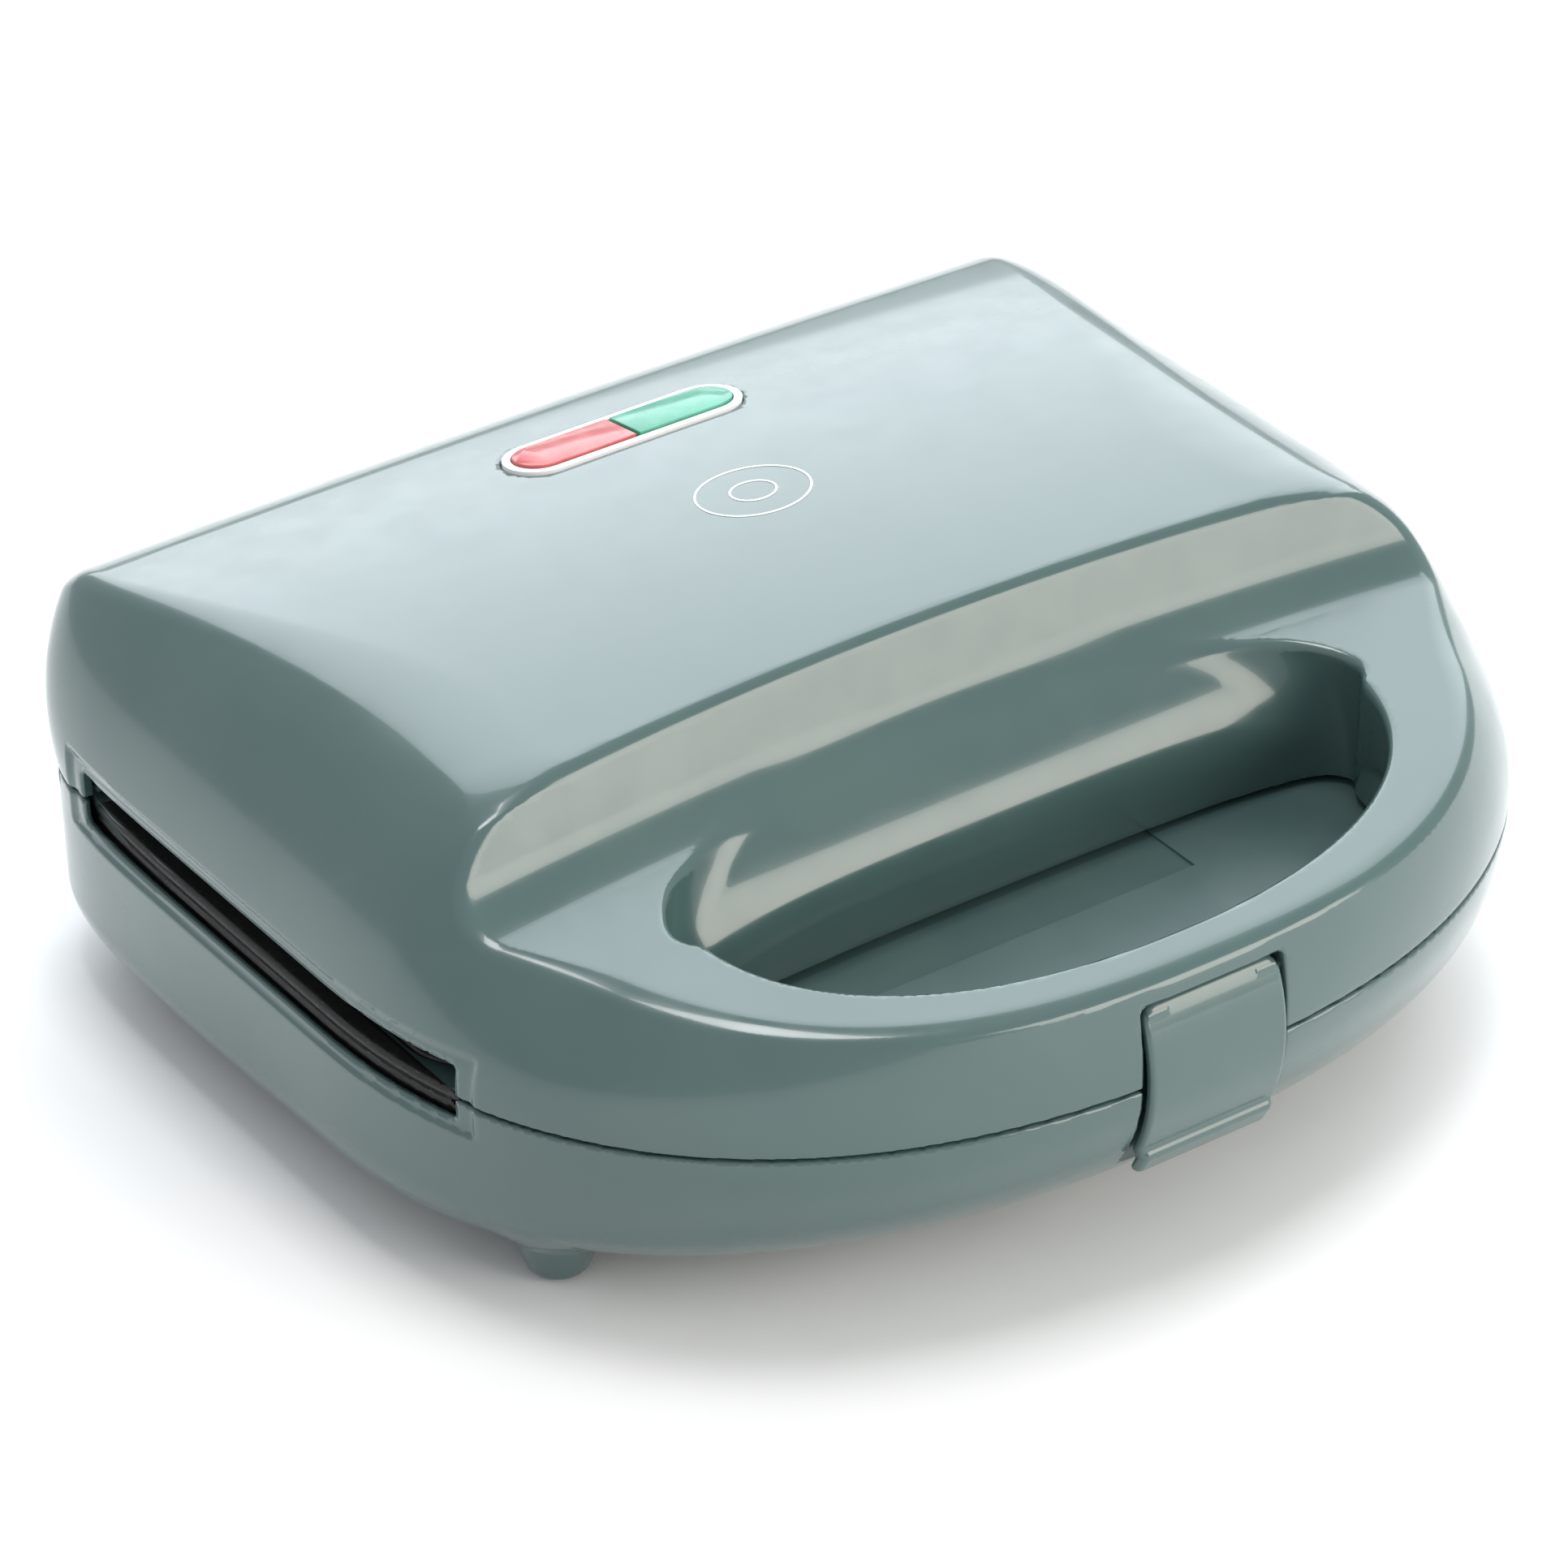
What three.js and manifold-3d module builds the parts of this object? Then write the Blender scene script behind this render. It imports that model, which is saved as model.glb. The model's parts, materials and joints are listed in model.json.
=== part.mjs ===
// Mini donut maker: two hinged casings with cooking plates, a clip latch and a carrying grip.
// Millimetres, +Z up, front edge towards -Y, standing on its four feet at z = 0.
import * as THREE from "three";
import { mergeVertices } from "three/addons/utils/BufferGeometryUtils.js";
import Module from "manifold-3d";

const wasm = await Module();
wasm.setup();

// ---- driving dimensions ----
const HALF_WIDTH = 120;        // casings, widest half-width at the seam
const FRONT = 105.8;           // seam outline, reach in front of the body's middle line
const REAR = 112;              // seam outline, reach behind the middle line
const SHIFT_Y = -5.85;         // moves the middle line so that the origin is under the box's centre
const SEAM = 44;               // height of the parting plane above the table
const SEAM_GAP = 0.6;          // open gap between the two casings
const WALL = 2.4;              // casing wall thickness
const FIT = 0.4;               // clearance between parts that touch in the real appliance
const BOTTOM = 8;              // underside of the lower casing
const LID_FRONT_Y = -17;       // crest of the lid above the grip
const LID_FRONT_H = 46;        // crest height above the seam
const LID_REAR_Y = 99;         // rear crease of the lid
const LID_REAR_H = 36.5;
const CROWN = 4;               // rise of the lid's top above the straight line from crest to rear crease
const BEVEL = { run: 12, drop: 8 };
const GRIP = { frontY: -104, frontH: 20.5, backY: -24, backH: 28.5 };
const HOLE = { y: -50, halfWidth: 73, front: 43.6, back: 9 };
const ROLL = { rimY: -27, radius: 15, halfWidth: 77 };
const CORNER = { front: 2.3, rear: 8 }; // powers of the two half superellipses of the outline
const LID_SECTION = { height: 58, power: 3, root: 0.4545 };
const BELLY = { depth: 22, radius: 14, sweep: 45, sweepDepth: 36.5 }; // lower casing's rounded underside
const SLOT = { y0: -38, y1: 80, up: 6.5, down: 4.5 };
const PLATE = { halfWidth: 111, y0: -32, y1: 84, flange: 3, corner: 12 };
const DONUT = { pitchX: 70, pitchY: 57, ringRadius: 17.5, depth: 8.5, radius: 8.5, wall: 2.4 };
const HINGE = { y: 104.4, z: SEAM + 9, x: 62, lugWidth: 12, lugRadius: 6.5, pinRadius: 2.5 };
const LATCH = { halfWidth: 15, top: 15.5, fold: -16.4, sag: 4, bulge: 106.8, wall: 2.2 };
const LATCH_PIVOT = { y: -101.2, h: 11.5, radius: 1.1 };
const LATCH_RECESS_Y = -98.2; // back of the recess that the latch sits in
const FEET = { x: 94.5, frontY: -40, rearY: 80, tip: 5, root: 8.4, top: 16, pad: 3.5 };
const SCREW = { head: 2.8, shaft: 1.3, headHeight: 2, cross: 0.4 };
const LID_SCREW = { head: SEAM + 0.4, tip: SEAM + 12, boss: 4, bore: 1.6 };
const BASE_SCREW = { head: BOTTOM + 1.7, tip: SEAM - 11, boss: 4.2, bore: 1.8, sink: 3.4 };
const GLAND = { z: 25, outer: 6, bore: 3.6, collar: 8.5 };
const VENTS = { places: [-30, -18, -6, 6, 18, 30], halfWidth: 1.6, y0: 4, y1: 44 };
const BEYOND = 200; // reach of cutting blocks that pass right through
const TROUGH_STEPS = 4;
const LENS = { y: 76, halfLength: 26, halfWidth: 7.2, wall: 1.6 };

const COLOUR = {
  shell: [0x7d9896, 0.22, 0], inner: [0x6f8a88, 0.4, 0], coating: [0x1b1b1c, 0.55, 0.2],
  steel: [0xb9bbbd, 0.35, 1], zinc: [0x9c9fa2, 0.4, 1], white: [0xf1f3f3, 0.3, 0],
  red: [0xe08787, 0.15, 0], green: [0x7cc9ae, 0.15, 0], rubber: [0x2c2d2e, 0.9, 0],
  ceramic: [0xe6e0d2, 0.7, 0], black: [0x202122, 0.5, 0], glass: [0xf2c49a, 0.1, 0],
};

// ---- solids ----
const solidOf = (geometry) => {
  const bare = geometry.index ? geometry.clone() : geometry;
  bare.deleteAttribute("normal");
  bare.deleteAttribute("uv");
  const merged = mergeVertices(bare, 1e-4);
  const vertProperties = new Float32Array(merged.attributes.position.array);
  const triVerts = new Uint32Array(merged.index.array);
  return new wasm.Manifold(new wasm.Mesh({ numProp: 3, vertProperties, triVerts }));
};

const geometryOf = (solid) => {
  const mesh = solid.getMesh();
  const geometry = new THREE.BufferGeometry();
  geometry.setAttribute("position", new THREE.BufferAttribute(mesh.vertProperties, 3));
  geometry.setIndex(new THREE.BufferAttribute(mesh.triVerts, 1));
  return geometry;
};

const join = (...solids) => solids.reduce((sum, next) => sum.add(next));
const cut = (solid, ...tools) => tools.reduce((rest, tool) => rest.subtract(tool), solid);

const box = (x0, x1, y0, y1, z0, z1) => {
  const geometry = new THREE.BoxGeometry(x1 - x0, y1 - y0, z1 - z0);
  geometry.translate((x0 + x1) / 2, (y0 + y1) / 2, (z0 + z1) / 2);
  return solidOf(geometry);
};

const cylinder = (r0, r1, x, y, z0, z1, sides = 24) => {
  const geometry = new THREE.CylinderGeometry(r1, r0, z1 - z0, sides);
  geometry.rotateX(Math.PI / 2);
  geometry.translate(x, y, (z0 + z1) / 2);
  return solidOf(geometry);
};

// A round bar along X or Y.
const bar = (axis, radius, from, to, a, b, sides = 20) => {
  const geometry = new THREE.CylinderGeometry(radius, radius, to - from, sides);
  if (axis === "x") {
    geometry.rotateZ(Math.PI / 2);
    geometry.translate((from + to) / 2, a, b);
  } else {
    geometry.translate(a, (from + to) / 2, b);
  }
  return solidOf(geometry);
};

const extrudeZ = (points, z0, z1) => {
  const shape = new THREE.Shape(points.map(([x, y]) => new THREE.Vector2(x, y)));
  const geometry = new THREE.ExtrudeGeometry(shape, { depth: z1 - z0, bevelEnabled: false });
  geometry.translate(0, 0, z0);
  return solidOf(geometry);
};

// Extrudes a profile of (y, z) points along X.
const extrudeX = (points, x0, x1) => {
  const shape = new THREE.Shape(points.map(([y, z]) => new THREE.Vector2(y, z)));
  const geometry = new THREE.ExtrudeGeometry(shape, { depth: x1 - x0, bevelEnabled: false });
  geometry.applyMatrix4(new THREE.Matrix4().set(0, 0, 1, x0, 1, 0, 0, 0, 0, 1, 0, 0, 0, 0, 0, 1));
  return solidOf(geometry);
};

// Stacks closed outlines with equal point counts into one solid.
const loft = (rings) => {
  const count = rings[0].points.length;
  const positions = rings.flatMap(({ z, points }) => points.flatMap(([x, y]) => [x, y, z]));
  const index = [];
  for (let r = 0; r < rings.length - 1; r += 1) {
    for (let i = 0; i < count; i += 1) {
      const a = r * count + i;
      const b = r * count + ((i + 1) % count);
      index.push(a, b, b + count, a, b + count, a + count);
    }
  }
  const cap = (ring) => THREE.ShapeUtils.triangulateShape(
    ring.points.map(([x, y]) => new THREE.Vector2(x, y)), []);
  const top = (rings.length - 1) * count;
  cap(rings[0]).forEach(([a, b, c]) => index.push(c, b, a));
  cap(rings[rings.length - 1]).forEach(([a, b, c]) => index.push(top + a, top + b, top + c));
  const geometry = new THREE.BufferGeometry();
  geometry.setAttribute("position", new THREE.Float32BufferAttribute(positions, 3));
  geometry.setIndex(index);
  return solidOf(geometry);
};

// ---- outlines ----
// Two half superellipses that share their width: one in front of y = middle, one behind it.
const egg = ({ half, front, rear, frontPower, rearPower, middle = 0, steps = 44 }) => {
  const points = [];
  for (let i = 0; i < steps; i += 1) {
    const angle = (2 * Math.PI * (i + 0.5)) / steps;
    const c = Math.cos(angle);
    const s = Math.sin(angle);
    const power = s < 0 ? frontPower : rearPower;
    const reach = s < 0 ? front : rear;
    const stretch = 2 / power;
    points.push([half * Math.sign(c) * Math.abs(c) ** stretch,
      middle + reach * Math.sign(s) * Math.abs(s) ** stretch]);
  }
  return points;
};

const roundedRect = (x0, x1, y0, y1, radius, steps = 5) => {
  const points = [];
  const corners = [[x1, y1, 0], [x0, y1, 1], [x0, y0, 2], [x1, y0, 3]];
  corners.forEach(([x, y, quarter]) => {
    const cx = x === x1 ? x1 - radius : x0 + radius;
    const cy = y === y1 ? y1 - radius : y0 + radius;
    for (let i = 0; i <= steps; i += 1) {
      const angle = (Math.PI / 2) * (quarter + i / steps);
      points.push([cx + radius * Math.cos(angle), cy + radius * Math.sin(angle)]);
    }
  });
  return points;
};

const arc = (cy, cz, radius, from, to, steps) => Array.from({ length: steps + 1 }, (_, i) => {
  const angle = THREE.MathUtils.degToRad(from + ((to - from) * i) / steps);
  return [cy + radius * Math.cos(angle), cz + radius * Math.sin(angle)];
});

const seamOutline = (inset) => egg({
  half: HALF_WIDTH - inset, front: FRONT - inset, rear: REAR - inset,
  frontPower: CORNER.front, rearPower: CORNER.rear,
});

const holeOutline = (grow) => egg({
  half: HOLE.halfWidth + grow, front: HOLE.front + grow, rear: HOLE.back + grow,
  frontPower: 2.2, rearPower: 3, middle: HOLE.y, steps: 32,
});

// Half-width of the lid's cross-section at a height above the seam.
const lidHalfWidth = (h) => HALF_WIDTH
  * (1 - (h / LID_SECTION.height) ** LID_SECTION.power) ** LID_SECTION.root;

// Height of the sloping grip face above the seam.
const gripHeight = (y) => {
  const slope = (GRIP.backH - GRIP.frontH) / (GRIP.backY - GRIP.frontY);
  return GRIP.frontH + slope * (y - GRIP.frontY);
};

// Height of the lid's top above the table.
const lidTop = (y) => {
  const half = (LID_REAR_Y - LID_FRONT_Y) / 2;
  const along = (y - LID_FRONT_Y - half) / half;
  const middle = (LID_FRONT_H + LID_REAR_H) / 2;
  return SEAM + middle + (along * (LID_REAR_H - LID_FRONT_H)) / 2 + CROWN * (1 - along ** 2);
};

// ---- casings ----
// The lid dome: rings narrow towards the crown, cut by the side profile.
const lidDome = (inset) => {
  const heights = [0, 14, 25, 33, 40, LID_FRONT_H + 2];
  const spine = Array.from({ length: 9 }, (_, i) => {
    const y = LID_REAR_Y + ((LID_FRONT_Y + inset - LID_REAR_Y) * i) / 8;
    return [y, lidTop(y) - inset];
  });
  const rings = heights.map((h) => ({
    z: SEAM + h,
    points: egg({
      half: lidHalfWidth(h) - inset, front: FRONT - inset, rear: REAR - inset,
      frontPower: CORNER.front, rearPower: CORNER.rear,
    }),
  }));
  const frontCorners = egg({
    half: HALF_WIDTH + 2 - inset, front: 64 - inset, rear: 90, frontPower: 5, rearPower: 9, middle: 45,
  });
  const profile = [
    [LID_FRONT_Y - 13 + inset, SEAM - 1], [LID_REAR_Y + 2 * BEVEL.run, SEAM - 1],
    [LID_REAR_Y + 2 * BEVEL.run, SEAM + LID_REAR_H - 2 * BEVEL.drop - inset],
    ...spine,
    ...arc(LID_FRONT_Y - 13 + inset, SEAM + 41 - inset, 13, 0, -90, 5),
  ];
  return loft(rings)
    .intersect(extrudeX(profile, -BEYOND, BEYOND))
    .intersect(extrudeZ(frontCorners, 0, BEYOND));
};

// The grip block in front: slightly tapered, with a face that slopes down to the front.
const gripBlock = (inset) => {
  const ringAt = (h, half, front, power) => ({
    z: SEAM + h,
    points: egg({
      half: half - inset, front: front - inset, rear: REAR - 6 - inset,
      frontPower: power, rearPower: CORNER.rear,
    }),
  });
  const rings = [ringAt(0, HALF_WIDTH, FRONT, CORNER.front), ringAt(10, 117, 105.2, 2.35),
    ringAt(20, 111, 103.8, 2.5), ringAt(30, 103, 102.2, 2.6)];
  const profile = [
    [-120, SEAM - 1], [60, SEAM - 1], [60, SEAM + 20 - inset], [-10, SEAM + gripHeight(-10) - inset],
    [-120, SEAM + gripHeight(-120) - inset],
  ];
  return loft(rings).intersect(extrudeX(profile, -BEYOND, BEYOND));
};

// What the rolled back wall of the finger hole leaves open above it.
const rollCut = (inset) => {
  const rim = SEAM + gripHeight(ROLL.rimY);
  const profile = [
    ...arc(ROLL.rimY, rim - ROLL.radius, ROLL.radius - inset, 90, 180, 6),
    [ROLL.rimY - ROLL.radius - 12, rim - ROLL.radius], [ROLL.rimY - ROLL.radius - 12, rim + 6],
    [ROLL.rimY, rim + 6],
  ];
  return extrudeX(profile, -ROLL.halfWidth - inset, ROLL.halfWidth + inset);
};

const slotBox = (side, z0, z1, depth = 30) => {
  const x = [HALF_WIDTH - depth, HALF_WIDTH + 5].map((value) => side * value).sort((a, b) => a - b);
  return box(x[0], x[1], SLOT.y0, SLOT.y1, z0, z1);
};

const hingeNotch = (side, rise) => box(
  side * HINGE.x - HINGE.lugWidth / 2 - 0.7, side * HINGE.x + HINGE.lugWidth / 2 + 0.7,
  HINGE.y - 7.5, REAR + 4, SEAM - 1, SEAM + rise);

const stadium = (grow) => roundedRect(
  -LENS.halfLength - grow, LENS.halfLength + grow,
  LENS.y - LENS.halfWidth - grow, LENS.y + LENS.halfWidth + grow, LENS.halfWidth + grow - 0.01, 7);

// The block round the latch, wider than the latch by a margin on each side.
const latchBlock = (margin, back, z0, z1) => box(
  -LATCH.halfWidth - margin, LATCH.halfWidth + margin, -BEYOND, back, z0, z1);

// Upright round bars at a list of places.
const posts = (places, radius, z0, z1, sides) => places.map(
  ([x, y]) => cylinder(radius, radius, x, y, z0, z1, sides));

const upperCasing = () => {
  const rim = SEAM + SEAM_GAP / 2;
  const { boss, bore } = LID_SCREW;
  const outer = cut(join(lidDome(0), gripBlock(0)), rollCut(0));
  const inner = cut(
    join(lidDome(WALL), gripBlock(WALL)), rollCut(WALL), extrudeZ(holeOutline(WALL), 0, BEYOND));
  const hollow = cut(inner, latchBlock(3, LATCH_RECESS_Y + WALL, SEAM, SEAM + LATCH.top + 3));
  const bosses = posts(lidScrewPlaces(), boss, SEAM + 4, SEAM + 60, 16)
    .map((post) => post.intersect(outer));
  return cut(
    join(cut(outer, hollow), ...bosses),
    ...posts(lidScrewPlaces(), bore, SEAM, SEAM + 14, 12),
    extrudeZ(holeOutline(0), 0, BEYOND),
    latchBlock(0.7, LATCH_RECESS_Y, 0, SEAM + LATCH.top + 0.6),
    box(-BEYOND, BEYOND, -BEYOND, BEYOND, SEAM - 5, rim),
    slotBox(1, rim - 2, SEAM + SLOT.up), slotBox(-1, rim - 2, SEAM + SLOT.up),
    hingeNotch(1, 19), hingeNotch(-1, 19),
    extrudeZ(stadium(FIT / 2), SEAM + 25, SEAM + 60),
    latchPin(0.35, 1),
  );
};

const lidScrewPlaces = () => [[-88, -52], [88, -52], [-30, 98], [30, 98]];

const lowerBody = (inset) => {
  const { depth, radius, sweep, sweepDepth } = BELLY;
  const depths = [SEAM - BOTTOM, 34.5, 31, 25, 14, 7, 0];
  const shallower = 1 - inset / (SEAM - BOTTOM);
  const rings = depths.map((d) => {
    const side = d > depth ? 0.9 * (radius - Math.sqrt(Math.max(0, radius ** 2 - (d - depth) ** 2))) : 0;
    const front = sweep * (1 - Math.sqrt(1 - (d / sweepDepth) ** 2));
    return {
      z: SEAM - d * shallower,
      points: egg({
        half: HALF_WIDTH - side - 0.03 * d - inset, front: FRONT - front - inset,
        rear: REAR - side - inset, frontPower: CORNER.front, rearPower: CORNER.rear,
      }),
    };
  });
  return loft(rings);
};

const foot = (x, y) => cut(
  cylinder(FEET.tip, FEET.root, x, y, 1, FEET.top, 24),
  cylinder(FEET.pad + FIT, FEET.pad + FIT, x, y, 0, 2.9, 20));

const feetPlaces = () => [["front_left", -FEET.x, FEET.frontY], ["front_right", FEET.x, FEET.frontY],
  ["rear_left", -FEET.x, FEET.rearY], ["rear_right", FEET.x, FEET.rearY]];

const hingeLug = (side) => {
  const { y, z, lugRadius, lugWidth, x } = HINGE;
  const profile = [[y - lugRadius, 24], [y + 5.6, 24], ...arc(y, z, lugRadius, 0, 180, 12)];
  const body = extrudeX(profile, side * x - lugWidth / 2, side * x + lugWidth / 2);
  return cut(body, bar("x", HINGE.pinRadius + 0.3, side * x - 20, side * x + 20, y, z));
};

const baseScrewPlaces = () => [[-60, -50], [60, -50], [-35, 88], [35, 88]];

const RIM_DROP_Y = HINGE.y - 12.5; // behind this line the lower casing's rim drops below the hinge

const lowerCasing = () => {
  const outer = lowerBody(0);
  const pocket = latchBlock(3, LATCH_RECESS_Y + WALL, 15, SEAM);
  const shelf = box(-BEYOND, BEYOND, RIM_DROP_Y, REAR + 4, 38.4, 40.8);
  const hollow = cut(lowerBody(WALL), pocket, shelf);
  const bosses = posts(baseScrewPlaces(), BASE_SCREW.boss, BOTTOM + 1, SEAM - 9, 16);
  const vents = VENTS.places.map((x) => box(
    x - VENTS.halfWidth, x + VENTS.halfWidth, VENTS.y0, VENTS.y1, 0, BOTTOM + 5));
  const catchBar = box(-9, 9, -100.8, LATCH_RECESS_Y + 0.5, SEAM - 12.4, SEAM - 9.6);
  const lugs = join(hingeLug(1), hingeLug(-1));
  const feet = feetPlaces().map(([, x, y]) => foot(x, y));
  const shell = cut(
    join(cut(outer, hollow), ...bosses, ...feet), latchBlock(0.7, LATCH_RECESS_Y, SEAM - 19, SEAM + 5));
  return cut(
    join(shell, catchBar, lugs),
    ...posts(baseScrewPlaces(), BASE_SCREW.bore, 0, SEAM, 12),
    ...posts(baseScrewPlaces(), BASE_SCREW.sink, 0, BOTTOM + 4, 16),
    ...vents,
    box(-BEYOND, BEYOND, -BEYOND, RIM_DROP_Y + 1, SEAM - SEAM_GAP / 2, SEAM + 2),
    cut(box(-BEYOND, BEYOND, RIM_DROP_Y, REAR + 4, 40.8, SEAM + 2), lugs),
    slotBox(1, SEAM - SLOT.down, SEAM + 2), slotBox(-1, SEAM - SLOT.down, SEAM + 2),
    bar("y", GLAND.outer + 0.3, REAR - 12, REAR + 4, 0, GLAND.z, 24),
  );
};

// ---- inner frames ----
const plateOutline = (grow) => roundedRect(
  -PLATE.halfWidth - grow, PLATE.halfWidth + grow,
  PLATE.y0 - grow, PLATE.y1 + grow, PLATE.corner + grow);

const frameRails = (outline, z0, z1) => cut(
  extrudeZ(outline, z0, z1), extrudeZ(plateOutline(FIT), z0 - 1, z1 + 1));

const hingeEar = (x0) => {
  const { y, z, pinRadius } = HINGE;
  const profile = [[y - 12, SEAM + 1], [y + 3, SEAM + 1], ...arc(y, z, 4.2, -30, 180, 12)];
  return cut(extrudeX(profile, x0, x0 + 4), bar("x", pinRadius + 0.35, x0 - 2, x0 + 6, y, z));
};

const upperInnerFrame = () => {
  const edge = WALL + FIT;
  const panel = frameRails(seamOutline(edge + 1), SEAM + 0.7, SEAM + 3.6);
  const rails = frameRails(seamOutline(edge + 3.4), SEAM + 0.7, SEAM + 10);
  const slots = [1, -1].map((side) => slotBox(side, SEAM, SEAM + SLOT.up + 0.4, 12));
  const middle = box(-BEYOND, BEYOND, PLATE.y0 - 6, PLATE.y1 + 6, SEAM, SEAM + 12);
  const ears = [1, -1].flatMap((side) => [
    hingeEar(side * HINGE.x + HINGE.lugWidth / 2 + 1), hingeEar(side * HINGE.x - HINGE.lugWidth / 2 - 5)]);
  return cut(
    join(panel, rails.intersect(middle), ...ears),
    ...slots, extrudeZ(holeOutline(WALL + FIT), 0, BEYOND),
    latchBlock(3.4, LATCH_RECESS_Y + WALL + FIT, 0, BEYOND),
    hingeNotch(1, 19), hingeNotch(-1, 19),
    ...posts(lidScrewPlaces(), SCREW.shaft + 0.5, SEAM, SEAM + 5, 12),
    ...posts(lidScrewPlaces(), SCREW.head + 0.4, SEAM, SEAM + 2.7, 16),
  );
};

const lowerInnerFrame = () => {
  const edge = WALL + FIT;
  const panel = frameRails(seamOutline(edge + 0.8), SEAM - 3.4, SEAM - 0.9);
  const rails = frameRails(seamOutline(edge + 1.2), SEAM - 8, SEAM - 0.9);
  const middle = box(-BEYOND, BEYOND, PLATE.y0 - 5, PLATE.y1 + 6, SEAM - 9, SEAM);
  const step = box(-BEYOND, 36, HOLE.y - 4, HOLE.y + 40, SEAM - 1.5, SEAM);
  return cut(
    join(panel, rails.intersect(middle)),
    box(-BEYOND, BEYOND, RIM_DROP_Y - FIT, BEYOND, 0, BEYOND),
    latchBlock(3.4, LATCH_RECESS_Y + WALL + FIT, 0, BEYOND),
    step.intersect(extrudeZ(holeOutline(3), 0, BEYOND)),
  );
};

// ---- cooking plates ----
const donutPlaces = () => {
  const middle = (PLATE.y0 + PLATE.y1) / 2;
  const places = [];
  [-1, 0, 1].forEach((i) => [-0.5, 0.5].forEach((j) => {
    places.push([i * DONUT.pitchX, middle + j * DONUT.pitchY]);
  }));
  return places;
};

// A ring with a half-round section, dipping from the contact plane to a depth.
const ringTrough = (x, y, radius, depth, lift) => {
  const profile = [new THREE.Vector2(DONUT.ringRadius - radius, lift)];
  for (let i = 0; i <= TROUGH_STEPS; i += 1) {
    const angle = Math.PI * (1 + i / TROUGH_STEPS);
    profile.push(new THREE.Vector2(DONUT.ringRadius + radius * Math.cos(angle), depth * Math.sin(angle)));
  }
  profile.push(new THREE.Vector2(DONUT.ringRadius + radius, lift), profile[0].clone());
  const geometry = new THREE.LatheGeometry(profile, 18);
  geometry.rotateX(Math.PI / 2);
  geometry.translate(x, y, 0);
  return solidOf(geometry);
};

// The lower plate, contact plane at z = 0, cavities and bumps downwards.
const donutPlate = () => {
  const { radius, depth, wall } = DONUT;
  const bumps = donutPlaces().map(([x, y]) => ringTrough(x, y, radius + wall, depth + wall, -0.5));
  const troughs = donutPlaces().map(([x, y]) => ringTrough(x, y, radius, depth, 0.5));
  const skirt = cut(
    extrudeZ(plateOutline(0), -7, -1), extrudeZ(plateOutline(-2.6), -8, 0));
  return cut(join(extrudeZ(plateOutline(0), -PLATE.flange, 0), skirt, ...bumps), ...troughs);
};

const placePlate = (upper) => {
  const geometry = geometryOf(donutPlate());
  if (upper) {
    geometry.rotateY(Math.PI);
  }
  geometry.translate(0, 0, upper ? SEAM + 0.3 : SEAM - 0.3);
  return geometry;
};

// ---- heating and wiring parts ----
const roundTube = (points, radius, steps, sides = 8) => {
  const path = new THREE.CatmullRomCurve3(points.map((p) => new THREE.Vector3(...p)), false, "centripetal");
  const ring = Array.from({ length: sides }, (_, i) => {
    const angle = (2 * Math.PI * i) / sides;
    return new THREE.Vector2(radius * Math.cos(angle), radius * Math.sin(angle));
  });
  return new THREE.ExtrudeGeometry(new THREE.Shape(ring), { steps, extrudePath: path });
};

// A U-shaped tubular heater: two runs under the donut rows and a bend at the left.
const heater = (z) => {
  const middle = (PLATE.y0 + PLATE.y1) / 2;
  const half = DONUT.pitchY / 2;
  const bend = Array.from({ length: 7 }, (_, i) => {
    const angle = Math.PI / 2 + (Math.PI * i) / 6;
    return [-66 + half * Math.cos(angle), middle + half * Math.sin(angle), z];
  });
  const tail = [92, 70, 40, 0, -40];
  const points = [...tail.map((x) => [x, middle + half, z]), ...bend,
    ...tail.reverse().map((x) => [x, middle - half, z])];
  return roundTube(points, 3.2, 30);
};

const inOrder = (a, b) => [Math.min(a, b), Math.max(a, b)];

const reflector = (z, up) => {
  const x = PLATE.halfWidth - 14;
  const outline = (inset) => roundedRect(
    -x + inset, x - inset, PLATE.y0 + 9 + inset, PLATE.y1 - 9 - inset, 9);
  const tray = extrudeZ(outline(0), ...inOrder(z, z + up));
  const hollow = extrudeZ(outline(1), ...inOrder(z + Math.sign(up), z + 2 * up));
  return cut(tray, hollow);
};

const thermostat = () => {
  const z = SEAM + 24;
  return join(cylinder(8, 8, 44, 26, z, z + 7, 24), cylinder(9.5, 9.5, 44, 26, z + 6, z + 8, 24),
    box(38, 50, 24.6, 27.4, z + 7.5, z + 12));
};

const thermalFuse = () => join(
  bar("x", 2, -26, -10, 26, SEAM + 27, 16), bar("x", 0.7, -38, 4, 26, SEAM + 27, 10));

const terminalBlock = () => cut(
  box(-16, 16, 88, 100, 14, 30),
  ...[-10, 0, 10].map((x) => bar("y", 2.2, 80, 110, x, 20, 12)),
  ...[-10, 0, 10].map((x) => cylinder(1.6, 1.6, x, 94, 20, 40, 12)));

const cordGland = () => {
  const { z, outer, bore, collar } = GLAND;
  const stem = bar("y", outer, REAR - 8, REAR + 6.5, 0, z, 24);
  const outside = bar("y", collar, REAR + 0.6, REAR + 3.4, 0, z, 28);
  const inside = bar("y", collar - 0.3, REAR - 8, REAR - 5, 0, z, 28);
  return cut(join(stem, outside, inside), bar("y", bore, REAR - 20, REAR + 20, 0, z, 20));
};

// ---- indicator ----
// The plane that touches the lid's top at the indicator.
const lensPlane = (y) => {
  const slope = (lidTop(LENS.y + 1) - lidTop(LENS.y - 1)) / 2;
  return lidTop(LENS.y) + slope * (y - LENS.y);
};

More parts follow.
